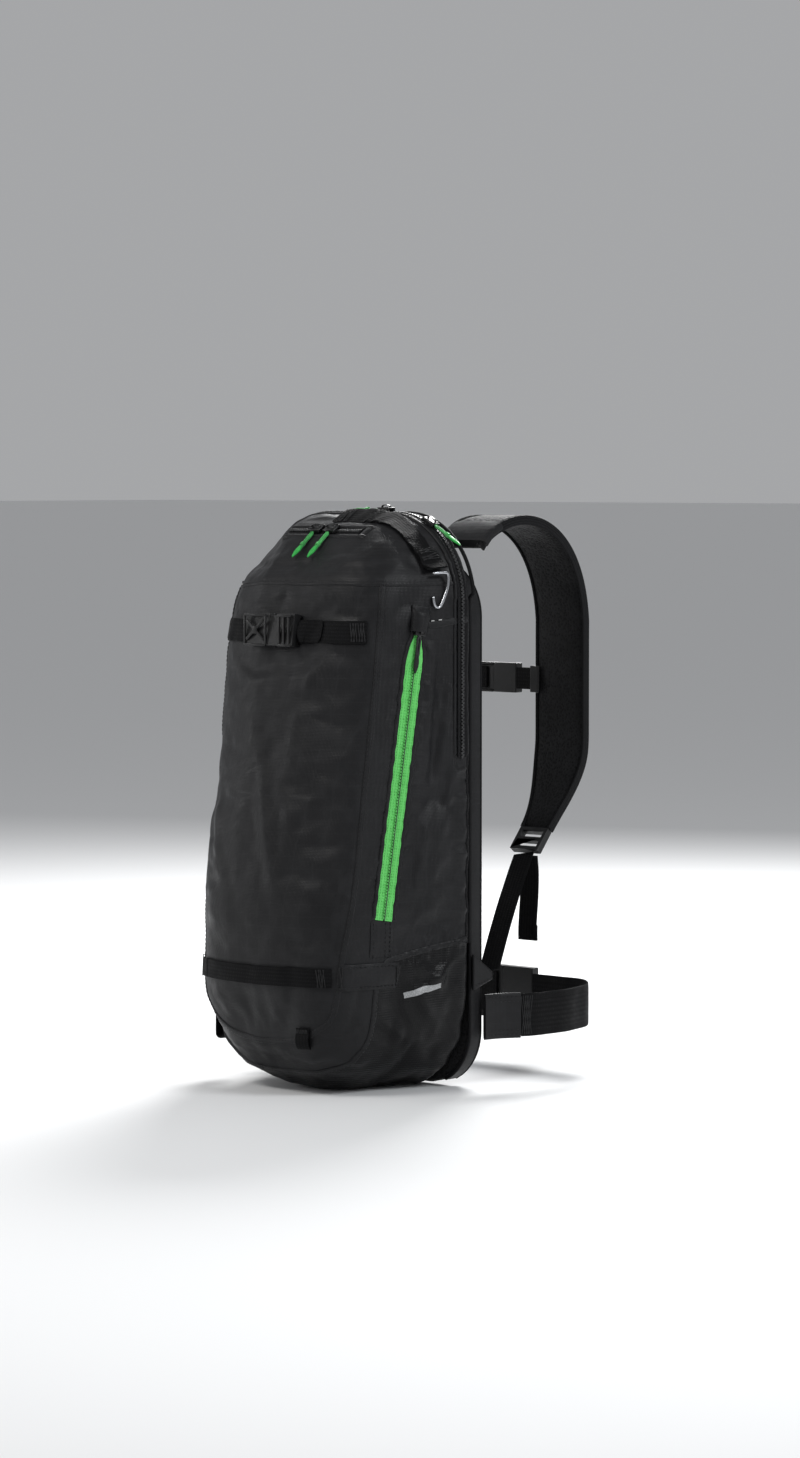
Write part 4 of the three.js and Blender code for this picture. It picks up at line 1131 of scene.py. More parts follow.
POCKET_OUT = Vector((0, -0.515, 0.857))
pocket_line = [Vector((x * MM, 0.0124, 0.4844)) for x in range(-42, 43, 2)]
pocket_up = [POCKET_OUT] * len(pocket_line)
pocket = Piece()
for way in (1, -1):
    flat_tape(pocket, pocket_line, pocket_up, way * 0.0013, way * 0.0042, 0)
pocket.finish("pocket_zip_dark_tape", "bag", [DARK_TAPE, THREAD], "shell_fabric")
teeth = Piece()
coil_teeth(teeth, pocket_line, pocket_up)
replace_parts(teeth.finish("pocket_zip_coil", "bag", COIL_GREY, "shell_fabric"), "pocket_zip_tape")
flap = Piece()
for way, wide in ((0.0073, 0.0045), (-0.0076, 0.005)):
    path = smooth_path([Vector((x * MM, 0.0124 + way * 0.857, 0.4844 + way * 0.515))
                        for x in range(-52, 53, 4)], 50)
    draped(flap, path, wide, 0.0016, 0, bow=0.8)
    sewn_row(flap, path, lift=0.0015, width=0.0006)
for end in (-0.047, 0.047):
    path = [Vector((end, 0.0124 + q * 0.857, 0.4844 + q * 0.515)) for q in (-0.009, -0.004, 0, 0.004, 0.009)]
    draped(flap, smooth_path(path, 9), 0.008, 0.0013, 0, bow=0.8)
flap.finish("pocket_zip_welts", "bag", [SHELL, THREAD], "shell_fabric")


# sliders and their cord pulls
def slider(node, centre, along, up):
    """Cast slider: body and crown plate from the CAD node, with a bridge for the cord and two nose flanges."""
    refined(node, SLIDER_METAL, 0.0007)
    across = up.cross(along).normalized()
    turn = Matrix((along, across, up)).transposed()
    piece = Piece()
    spine = [centre + along * x + up * z for x, z in ((-0.0046, 0.0049), (-0.0040, 0.0063), (-0.0016, 0.0070),
                                                      (0.0016, 0.0070), (0.0040, 0.0063), (0.0046, 0.0049))]
    band(piece, smooth_path(spine, 13), up, 0.0024, 0.0009, around=8)
    for way in (1, -1):
        piece.block(centre + along * 0.0035 + across * way * 0.0033 + up * 0.0051, (0.004, 0.0012, 0.0007),
                    0.0003, turn)
    piece.finish(node + "_bridge", frame["nodes"][node]["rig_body"], SLIDER_METAL, "black_plastic")


def cord_pull(node, root, way, out, body, finish=None):
    """A doubled cord through the slider, bound and gripped in a flat pointed end."""
    piece = Piece()
    across = out.cross(way).normalized()
    hang = lambda d, side: root + way * d + across * side + out * 0.003
    for side in (1, -1):
        spots = [hang(-0.0010, 0.0003 * side) + out * 0.0005, hang(0.0012, side * 0.0012),
                 hang(0.005, side * 0.0013), hang(0.011, side * 0.0011), hang(0.017, side * 0.0010),
                 hang(0.0215, side * 0.0009)]
        tube(piece, smooth_path(spots, 22), 0.00105, 0, 8)
    tube(piece, smooth_path([hang(0.0135, 0), hang(0.0150, 0), hang(0.0165, 0)], 5), 0.0022, 0, 10)
    grip = smooth_path([hang(0.0185, 0), hang(0.022, 0), hang(0.027, 0), hang(0.032, 0)], 14)
    band(piece, grip, out, lambda t: 0.0050 * (0.72 + 0.28 * math.sin(math.pi * min(1, t * 1.25))) * (1 - 0.75 * t ** 5),
         lambda t: 0.0024 - 0.0011 * t, 1, 12)
    for d in (0.0225, 0.0245, 0.0265):
        turn = Matrix((way, across, out)).transposed()
        piece.block(hang(d, 0) + out * 0.0009, (0.0007, 0.0034, 0.0007), 0.0002, turn, 1, 1)
    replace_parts(piece.finish(node + "_cord", body, finish or [CORD, GREEN_END], "green_tape"), node)


down = (ZIP_FOOT - ZIP_TOP).normalized()
slider("side_zip_slider", ZIP_TOP.copy(), -down, SIDE_OUT)
cord_pull("side_zip_pull", ZIP_TOP + down * 0.0069, down, SIDE_OUT, "side_pull",
          finish=[DARK_CORD, PLASTIC])
for side, mark in ((1, "right"), (-1, "left")):
    spot = Vector((0.009 * side, 0.0124, 0.4844))
    slider("pocket_zip_slider_" + mark, spot, Vector((side, 0, 0)), POCKET_OUT)
    low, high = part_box("pocket_zip_pull_" + mark)
    start = Vector((0.009 * side, high.y - 0.001, high.z - 0.001))
    way = (Vector((0.009 * side, low.y, low.z)) - start).normalized()
    out = Vector((0, way.z, -way.y)) if -way.y > 0 else Vector((0, -way.z, way.y))
    cord_pull("pocket_zip_pull_" + mark, start - out * 0.003 + way * 0.0005, way, out, "pocket_pull_" + mark)
flat = Vector((0.026, 0.062, 0.5))
slider("arch_zip_slider_left", flat, X_AXIS, Z_AXIS)
cord_pull("arch_zip_pull_left", flat - Vector((0.0069, 0, 0)), Vector((-1, 0, 0)), Z_AXIS, "arch_pull_left")
around = math.radians(60)
out = Vector((math.cos(around), 0, math.sin(around)))
onward = Vector((math.sin(around), 0, -math.cos(around)))
spot = Vector((0.03925, 0.062, 0.425)) + out * 0.075
slider("arch_zip_slider_right", spot, onward, out)
cord_pull("arch_zip_pull_right", spot + onward * 0.0069, onward, out, "arch_pull_right")


# ---------------------------------------------------------------- straps and hardware on the bag

def round_bag(z, first, last, mirrored=False):
    """Points on the bag's outline at a height, from one place round the corner to another, in metres."""
    sign = -1 if mirrored else 1
    return [Vector((sign * x * MM, y * MM, z * MM)) for x, y in outline(z)[first:last + 1]]


def bartack(piece, centre, along, up, width, bars=5, pitch=0.0011):
    """A dense block of zigzag stitches across a strap."""
    across = along.cross(up).normalized()
    for i in range(bars):
        turn = Matrix((along, across, up)).transposed() @ Matrix.Rotation(0.12 * (1 if i % 2 else -1), 3, "Z")
        piece.block(centre + along * pitch * (i - (bars - 1) / 2), (pitch * 0.75, width, 0.0006), 0.0002,
                    turn, 1, 1)


def laid_on(points, lift):
    """Points moved onto the cloth and evened out, with the direction out of the cloth at each."""
    ups = evened(ups_for(points), 4)
    spots = [on_bag(p)[0] + u * lift for p, u in zip(points, ups)]
    for _ in range(2):
        spots = [spots[0]] + [(a + b * 2 + c) / 4 for a, b,
                              c in zip(spots, spots[1:], spots[2:])] + [spots[-1]]
    return spots, ups


front_left = Piece()
pts = smooth_path(list(reversed(round_bag(399, 2, 17, True))), 34)
pts = [p for p in pts if p.x < -0.040]
spots, ups = laid_on(pts, 0.0016)
spots = smooth_path(spots[:-2] + [Vector((-0.0385, -0.0435, 0.399)), Vector((-0.0335, -0.0455, 0.399))], 36)
band(front_left, spots, [ups_for([p])[0] for p in spots], 0.0200, 0.0016)
for i in (2, 5):
    bartack(front_left, spots[i] + ups[i] * 0.0009, (spots[i + 1] - spots[i]).normalized(), ups[i], 0.016)
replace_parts(front_left.finish("front_strap_left_webbing", "bag", [WEB, THREAD], "webbing"),
            "front_strap_left")

front_right = Piece()
pts = [p for p in smooth_path(round_bag(399, 0, 17), 36) if p.x > 0.0265]
spots, ups = laid_on(pts, 0.0016)
spots = smooth_path([Vector((0.0, -0.0440, 0.399)), Vector((0.014, -0.0440, 0.399)),
                     Vector((0.0235, -0.0428, 0.399))]
                    + spots[1:], 40)
band(front_right, spots, ups_for(spots), 0.0200, 0.0015)
for i in (-3, -6):
    bartack(front_right, spots[i] + ups[i] * 0.0009, (spots[i] - spots[i - 1]).normalized(), ups[i], 0.016)
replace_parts(front_right.finish("front_strap_right_webbing", "bag", [WEB, THREAD], "webbing"),
            "front_strap_right")
tail = Piece()
spots, ups = laid_on([p for p in smooth_path(round_bag(399, 0, 12), 24) if p.x > 0.024], 0.0035)
spots = [Vector((0.0215, -0.0475, 0.3985))] + spots[:9]
spots = smooth_path(spots, 16)
band(tail, spots, ups_for(spots), 0.0196, 0.0014, ends=0.003)
tail.finish("front_strap_tail", "front_clip", [WEB, THREAD], "webbing")


def side_release_buckle(name, female, male, female_body, male_body, x_way, across, out):
    """Side-release buckle: crossed ribs on the socket, and bars, rails and teeth on the plug."""
    for node in (female, male):
        refined(node, PLASTIC, 0.0009, 3)
    low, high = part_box(female)
    centre, size = (low + high) / 2, high - low
    turn = Matrix((x_way, across, out)).transposed()
    long_, wide, deep = abs(size.dot(x_way)), abs(size.dot(across)), abs(size.dot(out))
    face = centre + out * deep / 2
    socket = Piece()
    for way in (1, -1):
        spin = turn @ Matrix.Rotation(way * math.atan2(wide * 0.62, long_ * 0.74), 3, "Z")
        socket.block(face + out * 0.0002, (long_ * 0.92, 0.0026, 0.0013), 0.0005, spin)
        socket.block(face + across * way * (wide / 2 - 0.0016) + out * 0.0001,
                     (long_ * 0.86, 0.0022, 0.0014), 0.0005, turn)
    socket.block(face + out * 0.0003, (long_ * 0.2, wide * 0.24, 0.0016), 0.0006, turn)
    for q in (-0.42, 0.42):
        socket.block(face + x_way * long_ * q + out * 0.0001, (0.0024, wide * 0.86, 0.0014), 0.0005, turn)
    socket.finish(name + "_socket_ribs", female_body, PLASTIC, "black_plastic")
    low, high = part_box(male)
    reach = abs((high - low).dot(x_way))
    head = centre + x_way * (abs(((low + high) / 2 - centre).dot(x_way)) + reach / 2 - 0.0095)
    plug = Piece()
    for d in (-0.0055, 0.0, 0.0055):
        plug.block(head + x_way * d + out * (deep / 2 - 0.0002), (0.0022, wide * 0.8, 0.0020), 0.0007, turn)
    for way in (1, -1):
        plug.block(head + across * way * (wide / 2 - 0.0018) + out * (deep / 2 - 0.0008),
                   (0.0165, 0.0024, 0.0022), 0.0007, turn)
        for k in range(3):
            plug.block(head - x_way * (0.0125 + 0.0022 * k) + across * way * (wide / 2 - 0.0006),
                       (0.0010, 0.0010, deep * 0.7),
                       0.0003, turn)
    plug.finish(name + "_plug_bars", male_body, PLASTIC, "black_plastic")


side_release_buckle("front_buckle", "front_buckle_female", "front_buckle_male", "bag", "front_clip",
                    X_AXIS, Z_AXIS, Vector((0, -1, 0)))

# lower strap and its cloth sleeves
lower = Piece()
pts = list(reversed(round_bag(105, 1, 17, True))) + round_bag(105, 0, 17)
spots, ups = laid_on(smooth_path(pts, 84), 0.0017)
band(lower, spots, ups, 0.0165, 0.0016)
for i in (4, 6, -7, -5):
    along = (spots[i + 1] - spots[i]).normalized()
    bartack(lower, spots[i] + ups[i] * 0.0010, along, ups[i], 0.0155, bars=3)
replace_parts(lower.finish("lower_strap_webbing", "bag", [WEB, THREAD], "webbing"), "lower_strap")
for mirrored, mark in ((False, "right"), (True, "left")):
    sleeve = Piece()
    path = smooth_path(round_bag(105, 18, 27, mirrored), 26)
    draped(sleeve, path, 0.0225, 0.0024, 0, columns=8, bow=0.5)
    for way in (1, -1):
        sewn_row(sleeve, path, lift=0.0024, offset=way * 0.0088)
    for i in (1, 24):
        up = on_bag(path[i])[1]
        bartack(sleeve, on_bag(path[i])[0] + up * 0.0026, (path[i] - path[i - 1]).normalized(), up, 0.019,
                bars=2)
    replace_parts(sleeve.finish("lower_sleeve_" + mark, "bag", [SHELL, THREAD], "shell_fabric"),
                "strap_sleeve_" + mark)

patch = Piece()
path = [Vector((0.09375, -0.0185, z * MM)) for z in (121, 126, 132, 138, 144, 149, 152.5)]
draped(patch, smooth_path(path, 16), 0.024, 0.0012, 0, columns=8, bow=0.5)
spots = smooth_path(path, 16)
for way in (0.0085, -0.0085, 0.0035):
    sewn_row(patch, spots, lift=0.0013, offset=way)
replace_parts(patch.finish("side_zip_foot_patch", "bag", [SHELL, THREAD], "shell_fabric"), "side_zip_patch")

garage = Piece()
path = [ZIP_TOP.lerp(ZIP_FOOT, t) for t in (-0.075, -0.055, -0.03, -0.01, 0.012)]
spots = smooth_path(path, 14)
garage_across = SIDE_OUT.cross(Vector((0.035, 0.139, 0.99))).normalized()


def garage_place(s, t):
    """An arched flap of cloth over the top end of the side zip."""
    k = round(s * 20) % 20
    p = spots[round(t * 13)]
    q, top = (k / 9, True) if k <= 9 else (1 - (k - 10) / 9, False)
    arch_over = math.sin(math.pi * q) ** 0.6
    lift = 0.0014 + 0.0062 * arch_over * smoothstep(t, 0.0, 0.35)
    return p + garage_across * (q - 0.5) * (0.019 - 0.002 * t) + SIDE_OUT * (lift if top else lift - 0.0009)


garage.sheet(20, 13, garage_place, (0.04, 0.02), 0)
for way in (1, -1):
    stitches(garage, [p + garage_across * way * 0.0078 for p in spots], SIDE_OUT, lift=0.0036, width=0.0006,
             material=1)
garage.finish("side_zip_garage", "bag", [SHELL, THREAD], "shell_fabric")

# tool loop, reflective bar
tool = Piece()
spots, ups = laid_on([Vector((x * MM, -0.0655 + (x - 47) * 0.0007, 0.0525))
                      for x in (39, 42, 45, 48, 51, 54)], 0.0013)
base_up = sum(ups, Vector()).normalized()
fold = []
centre = sum(spots, Vector()) / len(spots)
down_way = (Vector((0, 0, -1)) - base_up * base_up.dot(Vector((0, 0, -1)))).normalized()
for d, lift in ((-0.0085, 0.0004), (-0.004, 0.0018), (0.0, 0.0038), (0.005, 0.0042), (0.0085, 0.003),
                (0.0098, 0.0016),
                (0.0085, 0.0006), (0.003, 0.0002), (-0.004, 0.0001)):
    fold.append(centre + down_way * d + base_up * lift)
across = down_way.cross(base_up).normalized()
pts = smooth_path(fold, 30)
band(tool, pts, [across.cross(heading(pts, i)) * -1 for i in range(30)], 0.0135, 0.0014)
bartack(tool, centre - down_way * 0.0060 + base_up * 0.0024, across, base_up, 0.0036, bars=9, pitch=0.0013)
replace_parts(tool.finish("tool_loop_webbing", "bag", [WEB, THREAD], "webbing"), "tool_loop")

bar = Piece()
path = [Vector((98.75 + 0.25 * y, y, 86.5 + 0.21 * (y - 5))) * MM for y in range(4, 42, 3)]
draped(bar, path, 0.0052, 0.0004, 0, columns=5, bow=0.3)
bar.finish("reflective_bar", "bag", [STRIP, THREAD], "base_fabric")


# ---------------------------------------------------------------- ski carry: upper strap and hook, lower loop

def arch_points(y, start_x, end_z):
    """Points over the crown at a depth, from start_x (mm) down the right to end_z (m)."""
    spots = [Vector((x * MM, y * MM, 0.4985)) for x in range(start_x, 40, 6)]
    spots += [Vector((0.03925 + 0.075 * math.cos(math.radians(a)), y * MM, 0.425
                      + 0.075 * math.sin(math.radians(a))))
              for a in range(88, -1, -6) if 0.425 + 0.075 * math.sin(math.radians(a)) > end_z]
    return smooth_path(spots, 40)


carry = Piece()
spots, ups = laid_on(arch_points(36, -6, 0.456), 0.0014)
hook_low, hook_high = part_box("ski_hook")
spots.append(Vector(((hook_low.x + hook_high.x) / 2 - 0.0008, 0.036, 0.4535)))
spots = smooth_path(spots, 44)
ups = ups_for(spots)
band(carry, spots, ups, 0.0220, 0.0016)
band(carry, [p + u * 0.0018 for p, u in list(zip(spots, ups))[-9:]], ups[-9:], 0.0216, 0.0015, ends=0.002)
for i in (2, 4, -8, -6):
    along = (spots[i] - spots[i - 1]).normalized()
    bartack(carry, spots[i] + ups[i] * (0.0011 if i > 0 else 0.0028), along, ups[i], 0.018, bars=4)
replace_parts(carry.finish("ski_strap_webbing", "bag", [WEB, THREAD], "webbing"), "ski_strap")
hook = refined("ski_hook", WIRE, 0.0)
hook.modifiers.clear()
smooth = hook.modifiers.new("smooth", "SUBSURF")
smooth.levels = smooth.render_levels = 1
hook.data.set_sharp_from_angle(angle=math.radians(80))

loop = Piece()
centre_x = -(side_x(12.5, 80) * MM + 0.0061)
ring_path = [Vector((centre_x + 0.0043, 0, z)) for z in (0.079, 0.10, 0.1189)]
ring_path += [Vector((centre_x + 0.0043 * math.cos(a), 0, 0.1189 + 0.0043 * math.sin(a)))
              for a in (0.7, 1.57, 2.4)]
ring_path += [Vector((centre_x - 0.0043, 0, z)) for z in (0.1189, 0.10, 0.08, 0.06, 0.0391)]
ring_path += [Vector((centre_x - 0.0043 * math.cos(a), 0, 0.0391 - 0.0043 * math.sin(a)))
              for a in (0.7, 1.57, 2.4)]
ring_path += [Vector((centre_x + 0.0043, 0, z)) for z in (0.0391, 0.06, 0.0795)]
spots = smooth_path(ring_path, 90)
ways = [heading(spots, i).cross(Y_AXIS) for i in range(90)]
band(loop, spots, ways, 0.0248, 0.0015)
for d in (0.108, 0.1105):
    bartack(loop, Vector((centre_x - 0.0052, 0, d)), Z_AXIS, Vector((-1, 0, 0)), 0.021, bars=3)
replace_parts(loop.finish("lower_ski_loop_webbing", "ski_loop", [WEB, THREAD], "webbing"), "lower_ski_loop")
refined("tri_glide", PLASTIC, 0.0008, 3)

# ---------------------------------------------------------------- back: pads, straps and belt


def pillow(piece, half, low, high, inner, outer, corner, channels=(), spine=0.0, columns=44, rows=92):
    """A sewn pad against the back: rounded outline, crowned face, sunk channels. mm, outward is +Y."""
    mid_y, deep = (inner + outer) / 2, (outer - inner) / 2

    def place(s, t):
        z = low + (high - low) * (0.5 - 0.5 * math.cos(math.pi * t)) if rows < 40 else low + (high - low) * t
        near = min(z - low, high - z)
        wide = half - (corner - math.sqrt(max(0.0, corner ** 2 - (corner - near) ** 2)) if near < corner
                       else 0)
        k = round(s * 2 * columns) % (2 * columns)
        face = k <= columns
        q = (k / columns if face else 2 - k / columns) * 2 - 1
        x = wide * math.sin(q * math.pi / 2)
        rim = math.sqrt(max(0.0, 1 - abs(math.sin(q * math.pi / 2)) ** 8)) * math.sqrt(max(0.02, 1 - (1 - min(1, near / 9)) ** 2))
        y = mid_y + deep * rim * (1 if face else -1)
        if face:
            sunk = 0.0
            for z0 in channels:
                bend = z0 + 10 * (abs(x) / half) ** 2
                sunk = max(sunk, 0.36 * math.exp(-((z - bend) / 5.5) ** 2))
            if spine:
                sunk = max(sunk, 0.5 * (1 - smoothstep(abs(x), spine * 0.55, spine)))
            y -= deep * 2 * sunk * rim
        return Vector((x, y, z)) * MM

    return piece.sheet(2 * columns, rows, place, (0.4, 0.5))


pad = Piece()
CHANNELS = (96, 168, 240, 312, 384)
pillow(pad, 110.5, 1.2, 459, 76, 92.2, 49, CHANNELS, 17)
pad_object = pad.finish("back_pad_mesh", "bag", [MESH], "pad_fabric", crease=60)


def pad_held(p):
    """1 where the pad is sewn down: its rim, its channels and the edges of its spine."""
    x, y, z = p / MM
    d = min(110 - abs(x), 458 - z, z - 3, y - 78 if y < 86 else 9, abs(abs(x) - 13))
    for z0 in CHANNELS:
        d = min(d, abs(z - z0 - 10 * (abs(x) / 110.5) ** 2))
    return 1 - smoothstep(d, 3, 9)


swell(pad_object, pad_held, 0.0014, frames=10, seed_push=0.0001)
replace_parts(pad_object, "back_pad")
pad_surface = BVHTree.FromObject(pad_object, bpy.context.evaluated_depsgraph_get())

trim = Piece()
edge = []
for i in range(121):
    a = i / 120
    z = 6 + 448 * a
    near = min(z - 1.2, 459 - z)
    edge.append(Vector((110.5 - (49 - math.sqrt(max(0, 49 ** 2 - (49 - near) ** 2)) if near < 49 else 0), 84,
                        z)) * MM)
edge += [Vector((x * MM, 0.084, 0.4588)) for x in range(60, -1, -10)]
edge = smooth_path(edge, 150)
full = edge + [Vector((-p.x, p.y, p.z)) for p in reversed(edge[:-1])]
ways = [(p - q).cross(Y_AXIS).normalized() for p, q in zip(full[1:] + full[-1:], full[:1] + full[:-1])]
ways = [w if w.dot(p - Vector((0, 0.084, 0.23))) > 0 else w * -1 for p, w in zip(full, ways)]
band(trim, [p - w * 0.0012 for p, w in zip(full, ways)], ways, 0.0150, 0.0040, 1, 16)
for shift in (0.0068, -0.0068):
    tube(trim, [p - w * 0.0002 + Vector((0, shift, 0)) for p, w in zip(full, ways)], 0.0014, 0, 8)
trim.finish("back_pad_gusset", "bag", [BINDING, SHELL], "pad_fabric")


def sewn_on_pad(piece, origins):
    """A row of stitches where rays from behind meet the pad."""
    hits = [pad_surface.ray_cast(origin, Vector((0, -1, 0)))[0] for origin in origins]
    stitches(piece, [hit for hit in hits if hit], Y_AXIS, length=0.003, gap=0.0016, lift=0.0002)


lines = Piece()
for z0 in CHANNELS:
    for side in (1, -1):
        sewn_on_pad(lines, [Vector((side * x * MM, 0.11, (z0 + 10 * (x / 110.5) ** 2) * MM))
                            for x in range(18, 106, 3)])
for side in (1, -1):
    sewn_on_pad(lines, [Vector((side * 0.0135, 0.11, z * MM)) for z in range(14, 450, 4)])
lines.finish("back_pad_stitching", "bag", [THREAD], "pad_fabric")

lumbar = Piece()
pillow(lumbar, 77.5, 40.5, 111.5, 93.0, 99.8, 22, (76,), 0, 36, 30)
lumbar_object = lumbar.finish("lumbar_pad_mesh", "bag", [MESH], "pad_fabric", crease=60)
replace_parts(lumbar_object, "lumbar_pad")


def bezier(a, b, c, d, count):
    return [a * (1 - t) ** 3 + b * (3 * t * (1 - t) ** 2) + c * (3 * t * t * (1 - t)) + d * t ** 3
            for t in (i / count for i in range(count + 1))]


def strap_line(x):
    at = lambda y, z: Vector((x, y * MM, z * MM))
    path = bezier(at(97.5, 470), at(120.5, 507), at(226, 512), at(235, 404), 30)
    path += bezier(at(235, 404), at(235, 370), at(235, 334), at(235, 300), 14)[1:]
    path += bezier(at(235, 300), at(235, 272), at(221.7, 244.2), at(200, 218), 16)[1:]
    return smooth_path(path, 92)


for side, mark in ((1, "right"), (-1, "left")):
    path = strap_line(0.082 * side)
    fr = []
    for i, p in enumerate(path):
        fr.append((p, X_AXIS, heading(path, i).cross(X_AXIS).normalized() * -1))
    wide = lambda t: 0.0275 * (0.86 + 0.14 * smoothstep(t, 0, 0.1)) * (1 - 0.42 * smoothstep(t, 0.80, 1.0))

    def strap_place(s, t):
        i = round(t * 91)
        p, across, out = fr[i]
        k = round(s * 40) % 40
        outer = k <= 20
        q = (k / 20 if outer else 2 - k / 20) * 2 - 1
        x = math.sin(q * math.pi / 2)
        rim = math.sqrt(max(0.0, 1 - abs(x) ** 6))
        ends = math.sqrt(max(0.04, 1 - (1 - min(1, min(t, 1 - t) * 26)) ** 2))
        swellings = 0.00035 * math.sin(i * 0.9) * (1 - abs(x)) + 0.0003 * noise.noise(p * 60
                                                                                      + Vector((x, 0, 0)))
        high = (0.0040 * rim * ends + swellings) * (1 if outer else -1)
        return p + across * x * wide(t) + out * high

    strap = Piece()
    strap.sheet(40, 91, strap_place, (0.13, 0.5))
    strap_object = strap.finish("shoulder_strap_foam_" + mark, "bag", [MESH], "pad_fabric", crease=60)
    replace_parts(strap_object, "shoulder_strap_" + mark)

    dress = Piece()
    for way in (1, -1):
        rim_line = [p + a * way * (wide(i / 91) - 0.0004) for i, (p, a, o) in enumerate(fr)]
        band(dress, rim_line, [a * way for p, a, o in fr], 0.0085, 0.0022, 0, 10)
        inside = [p + a * way * (wide(i / 91) - 0.0030) + o * 0.0036 for i, (p, a, o) in enumerate(fr)]
        stitches(dress, inside, [o for p, a, o in fr], length=0.003, gap=0.0016, material=1)
    dress.finish("shoulder_strap_binding_" + mark, "bag", [BINDING, THREAD], "webbing")

    chain = Piece()
    run = fr[20:86]
    centre_line = [p + o * 0.0049 for p, a, o in run]
    band(chain, centre_line, [o for p, a, o in run], 0.0200, 0.0014)
    for i in range(4, 64, 7):
        p, a, o = run[i]
        bartack(chain, p + o * 0.0058, a.cross(o).normalized(), o, 0.017, bars=3)
    chain.finish("shoulder_strap_webbing_" + mark, "bag", [WEB, THREAD], "webbing")

    root = Piece()
    cuff = [p + o * 0.0004 for p, a, o in fr[:9]]
    band(root, cuff, [o for p, a, o in fr[:9]], 0.0560, 0.0098, 0, 20, ends=0.002)
    root.finish("shoulder_strap_root_" + mark, "bag", [SHELL], "shell_fabric")

    lock_way = Vector((0, 0.638, 0.770))
    lock_out = Vector((0, 0.770, -0.638))
    refined("ladder_lock_" + mark, PLASTIC, 0.0009, 3)
    low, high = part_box("ladder_lock_" + mark)
    mid = (low + high) / 2
    turn = Matrix((X_AXIS, lock_way, lock_out)).transposed()
    grips = Piece()
    for d in (-0.0100, 0.0, 0.0100):
        grips.block(mid + lock_way * d + lock_out * 0.0034, (0.0225, 0.0022, 0.0016), 0.0006, turn)
    for way in (1, -1):
        grips.block(mid + Vector((way * 0.0138, 0, 0)) + lock_out * 0.0034, (0.0020, 0.0200, 0.0010), 0.0004,
                    turn)
    grips.finish("ladder_lock_bars_" + mark, "bag", [PLASTIC], "black_plastic")

    web = Piece()
    foot, top = Vector((0.110 * side, 0.103, 0.101)), Vector((0.082 * side, 0.1826, 0.1971))
    way = (top - foot).normalized()
    out = X_AXIS.cross(way).normalized() * -1
    bow = [foot.lerp(top, i / 30) - out * 0.0022 * math.sin(math.pi * i / 30) for i in range(31)]
    band(web, bow, out, 0.0220, 0.0015)
    bartack(web, foot.lerp(top, 0.07) + out * 0.0009, way, out, 0.019, bars=6)
    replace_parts(web.finish("lower_strap_run_" + mark, "bag", [WEB, THREAD], "webbing"),
                "lower_webbing_" + mark)
    end = Piece()
    hang = [Vector((0.082 * side, y * MM, z * MM)) for y, z in ((188.7, 195.2), (190.4, 180), (190.0, 160),
                                                                (188.2, 140), (187.4, 128), (187.6, 119.5))]
    spots = smooth_path(hang, 34)
    band(end, spots, Y_AXIS, 0.0216, 0.0014)
    band(end, [p + Vector((0, 0.0015, 0)) for p in spots[-7:]], Y_AXIS, 0.0214, 0.0013)
    bartack(end, spots[-5] + Vector((0, 0.0026, 0)), Z_AXIS, Y_AXIS, 0.018, bars=3)
    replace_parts(end.finish("strap_tail_" + mark, "bag", [WEB, THREAD], "webbing"), "webbing_tail_" + mark)

    refined("strap_anchor_" + mark, SHELL, 0.0012, 3)
    hem = Piece()
    for face in (1, -1):
        x = side * 0.1143 + face * 0.0016
        rim = ((0.079, 0.0905), (0.099, 0.0955), (0.0995, 0.1005), (0.079, 0.1150))
        pts = smooth_path([Vector((x, y, z)) for y, z in rim], 20)
        stitches(hem, pts, Vector((face, 0, 0)), lift=0.0001)
    hem.finish("strap_anchor_stitching_" + mark, "bag", [THREAD], "shell_fabric")

    # hip belt
    plan = lambda x, y: Vector((side * x * MM, y * MM, 0.062))
    wing = smooth_path([plan(117.6, 88.3), plan(120.7, 105), plan(130, 121.8)], 16)
    outward = [heading(wing, i).cross(Z_AXIS).normalized() * side for i in range(16)]
    flap = Piece()
    band(flap, wing, outward, 0.0400, 0.0036, 0, 24)
    for z in (0.0165, -0.0165, 0.0125, -0.0125):
        stitches(flap, [p + Vector((0, 0, z)) + outward[i] * 0.0017 for i, p in enumerate(wing)], outward,
                 lift=0.0001, material=1)
    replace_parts(flap.finish("hip_wing_pad_" + mark, "hip_belt", [SHELL, THREAD], "shell_fabric"),
                "hip_wing_" + mark)
    belt = bezier(plan(130.4, 122.4), plan(146, 156), plan(136.2, 250.2), plan(78, 250.2), 40)
    belt.append(plan(35.8 if side > 0 else 8, 250.2))
    belt = smooth_path(belt, 84)
    outward = [heading(belt, i).cross(Z_AXIS).normalized() * side for i in range(84)]
    run = Piece()
    wavy = [p + outward[i] * 0.0005 * math.sin(i * 0.35) for i, p in enumerate(belt)]
    band(run, wavy, outward, 0.0378, 0.0015, 0, 16)
    bartack(run, belt[2] + outward[2] * 0.0010, (belt[3] - belt[2]).normalized(), outward[2], 0.034, bars=8)
    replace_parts(run.finish("hip_belt_webbing_" + mark, "hip_belt", [WEB, THREAD], "webbing"),
                "hip_webbing_" + mark)

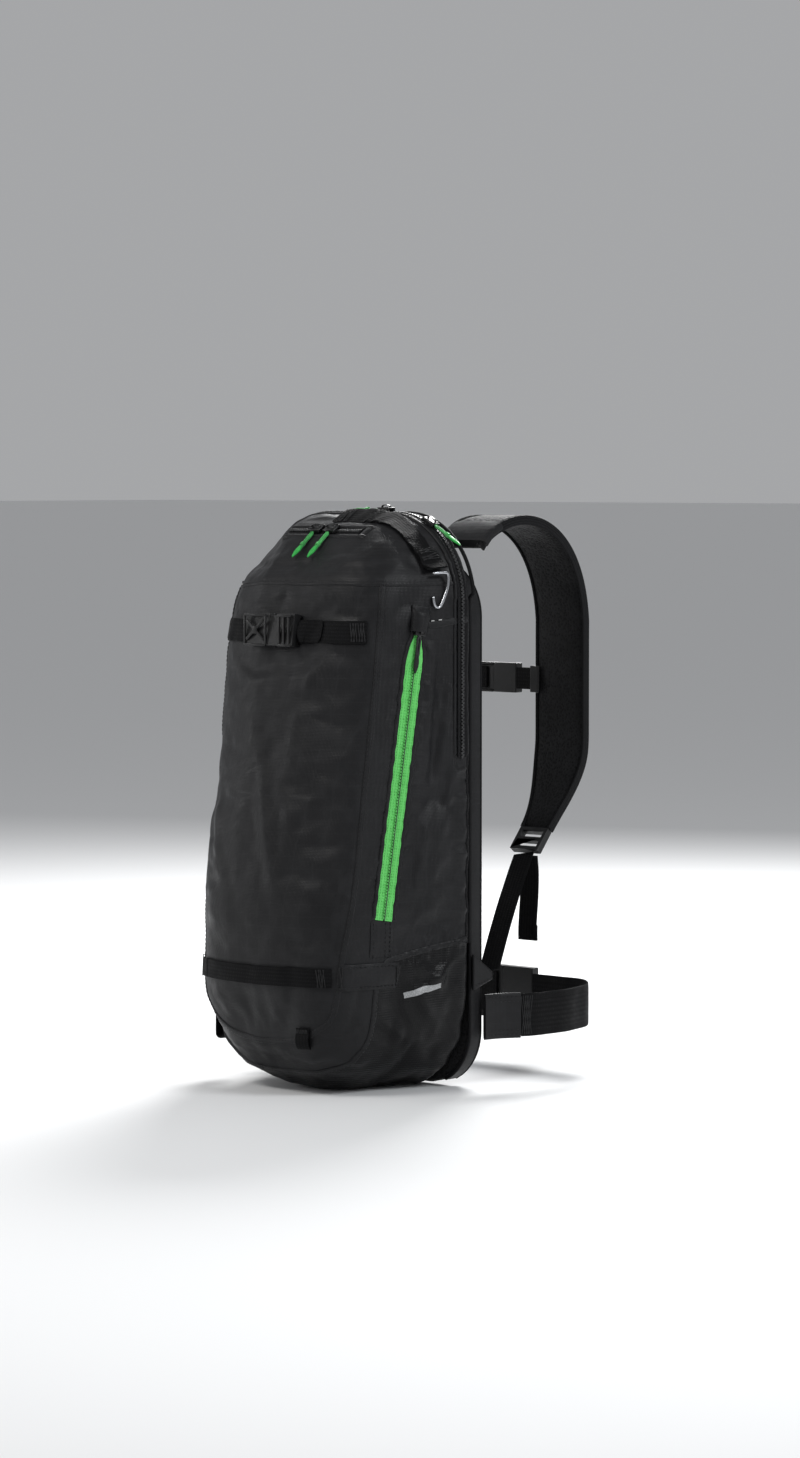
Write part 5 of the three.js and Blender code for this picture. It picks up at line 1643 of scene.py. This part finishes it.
    # sternum strap
    refined("sternum_clip_" + mark, PLASTIC, 0.0009, 3)
    chest = Piece()
    spots = [Vector((x * MM, 0.2362, 0.350)) for x in ((27.6, 33, 39, 44, 49.4) if side > 0
                                                       else (-8, -18, -28, -39, -49.4))]
    band(chest, smooth_path(spots, 16), Y_AXIS, 0.0196, 0.0014)
    if side > 0:
        bartack(chest, Vector((0.0455 * side, 0.2371, 0.350)), X_AXIS, Y_AXIS, 0.017, bars=4)
    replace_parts(chest.finish("sternum_webbing_run_" + mark, "sternum_strap", [WEB, THREAD], "webbing"),
                "sternum_webbing_" + mark)

side_release_buckle("sternum_buckle", "sternum_buckle_female", "sternum_buckle_male", "sternum_strap",
                    "sternum_clip",
                    Vector((-1, 0, 0)), Z_AXIS, Y_AXIS)
side_release_buckle("hip_buckle", "hip_buckle_female", "hip_buckle_male", "hip_belt", "hip_clip",
                    Vector((-1, 0, 0)), Z_AXIS, Y_AXIS)

haul = Piece()
at = lambda x, z: Vector((x * MM, 0.090, z * MM))
path = [at(-26, 464), at(-26, 469)] + bezier(at(-26, 474), at(-26, 498), at(26, 498), at(26, 474),
                                             24) + [at(26, 469), at(26, 464)]
path = smooth_path(path, 60)
ways = [heading(path, i).cross(Y_AXIS) * -1 for i in range(60)]
pinch = lambda t: 0.0155 - 0.0055 * math.sin(math.pi * t) ** 4
band(haul, path, ways, pinch, lambda t: 0.0026 + 0.0016 * math.sin(math.pi * t) ** 4, 0, 14)
for i in (5, -6):
    along = (path[i] - path[i - 1]).normalized()
    bartack(haul, path[i] + ways[i] * 0.0015, along, ways[i], 0.012, bars=5)
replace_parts(haul.finish("haul_loop_webbing", "haul_handle", [WEB, THREAD], "webbing"), "haul_loop")

for node, material in (("pocket_divider", SHELL), ("frame_sheet", SHEET)):
    mesh = frame["nodes"][node].data
    mesh.materials.clear()
    mesh.materials.append(material)


floor_mesh = bpy.data.meshes.new("floor")
floor_form = bmesh.new()
bmesh.ops.create_grid(floor_form, x_segments=1, y_segments=1, size=60)
bmesh.ops.translate(floor_form, vec=Vector((0, 0, -0.0005)), verts=floor_form.verts)
floor_form.to_mesh(floor_mesh)
floor_form.free()
floor = link(floor_mesh, "floor")
paper = Finish("floor_paper", (0.78, 0.785, 0.79), 0.75)
paper.bump(paper.noise(paper.place(), 60, 3), 0.0002, 0.2)
floor_mesh.materials.append(paper.material)
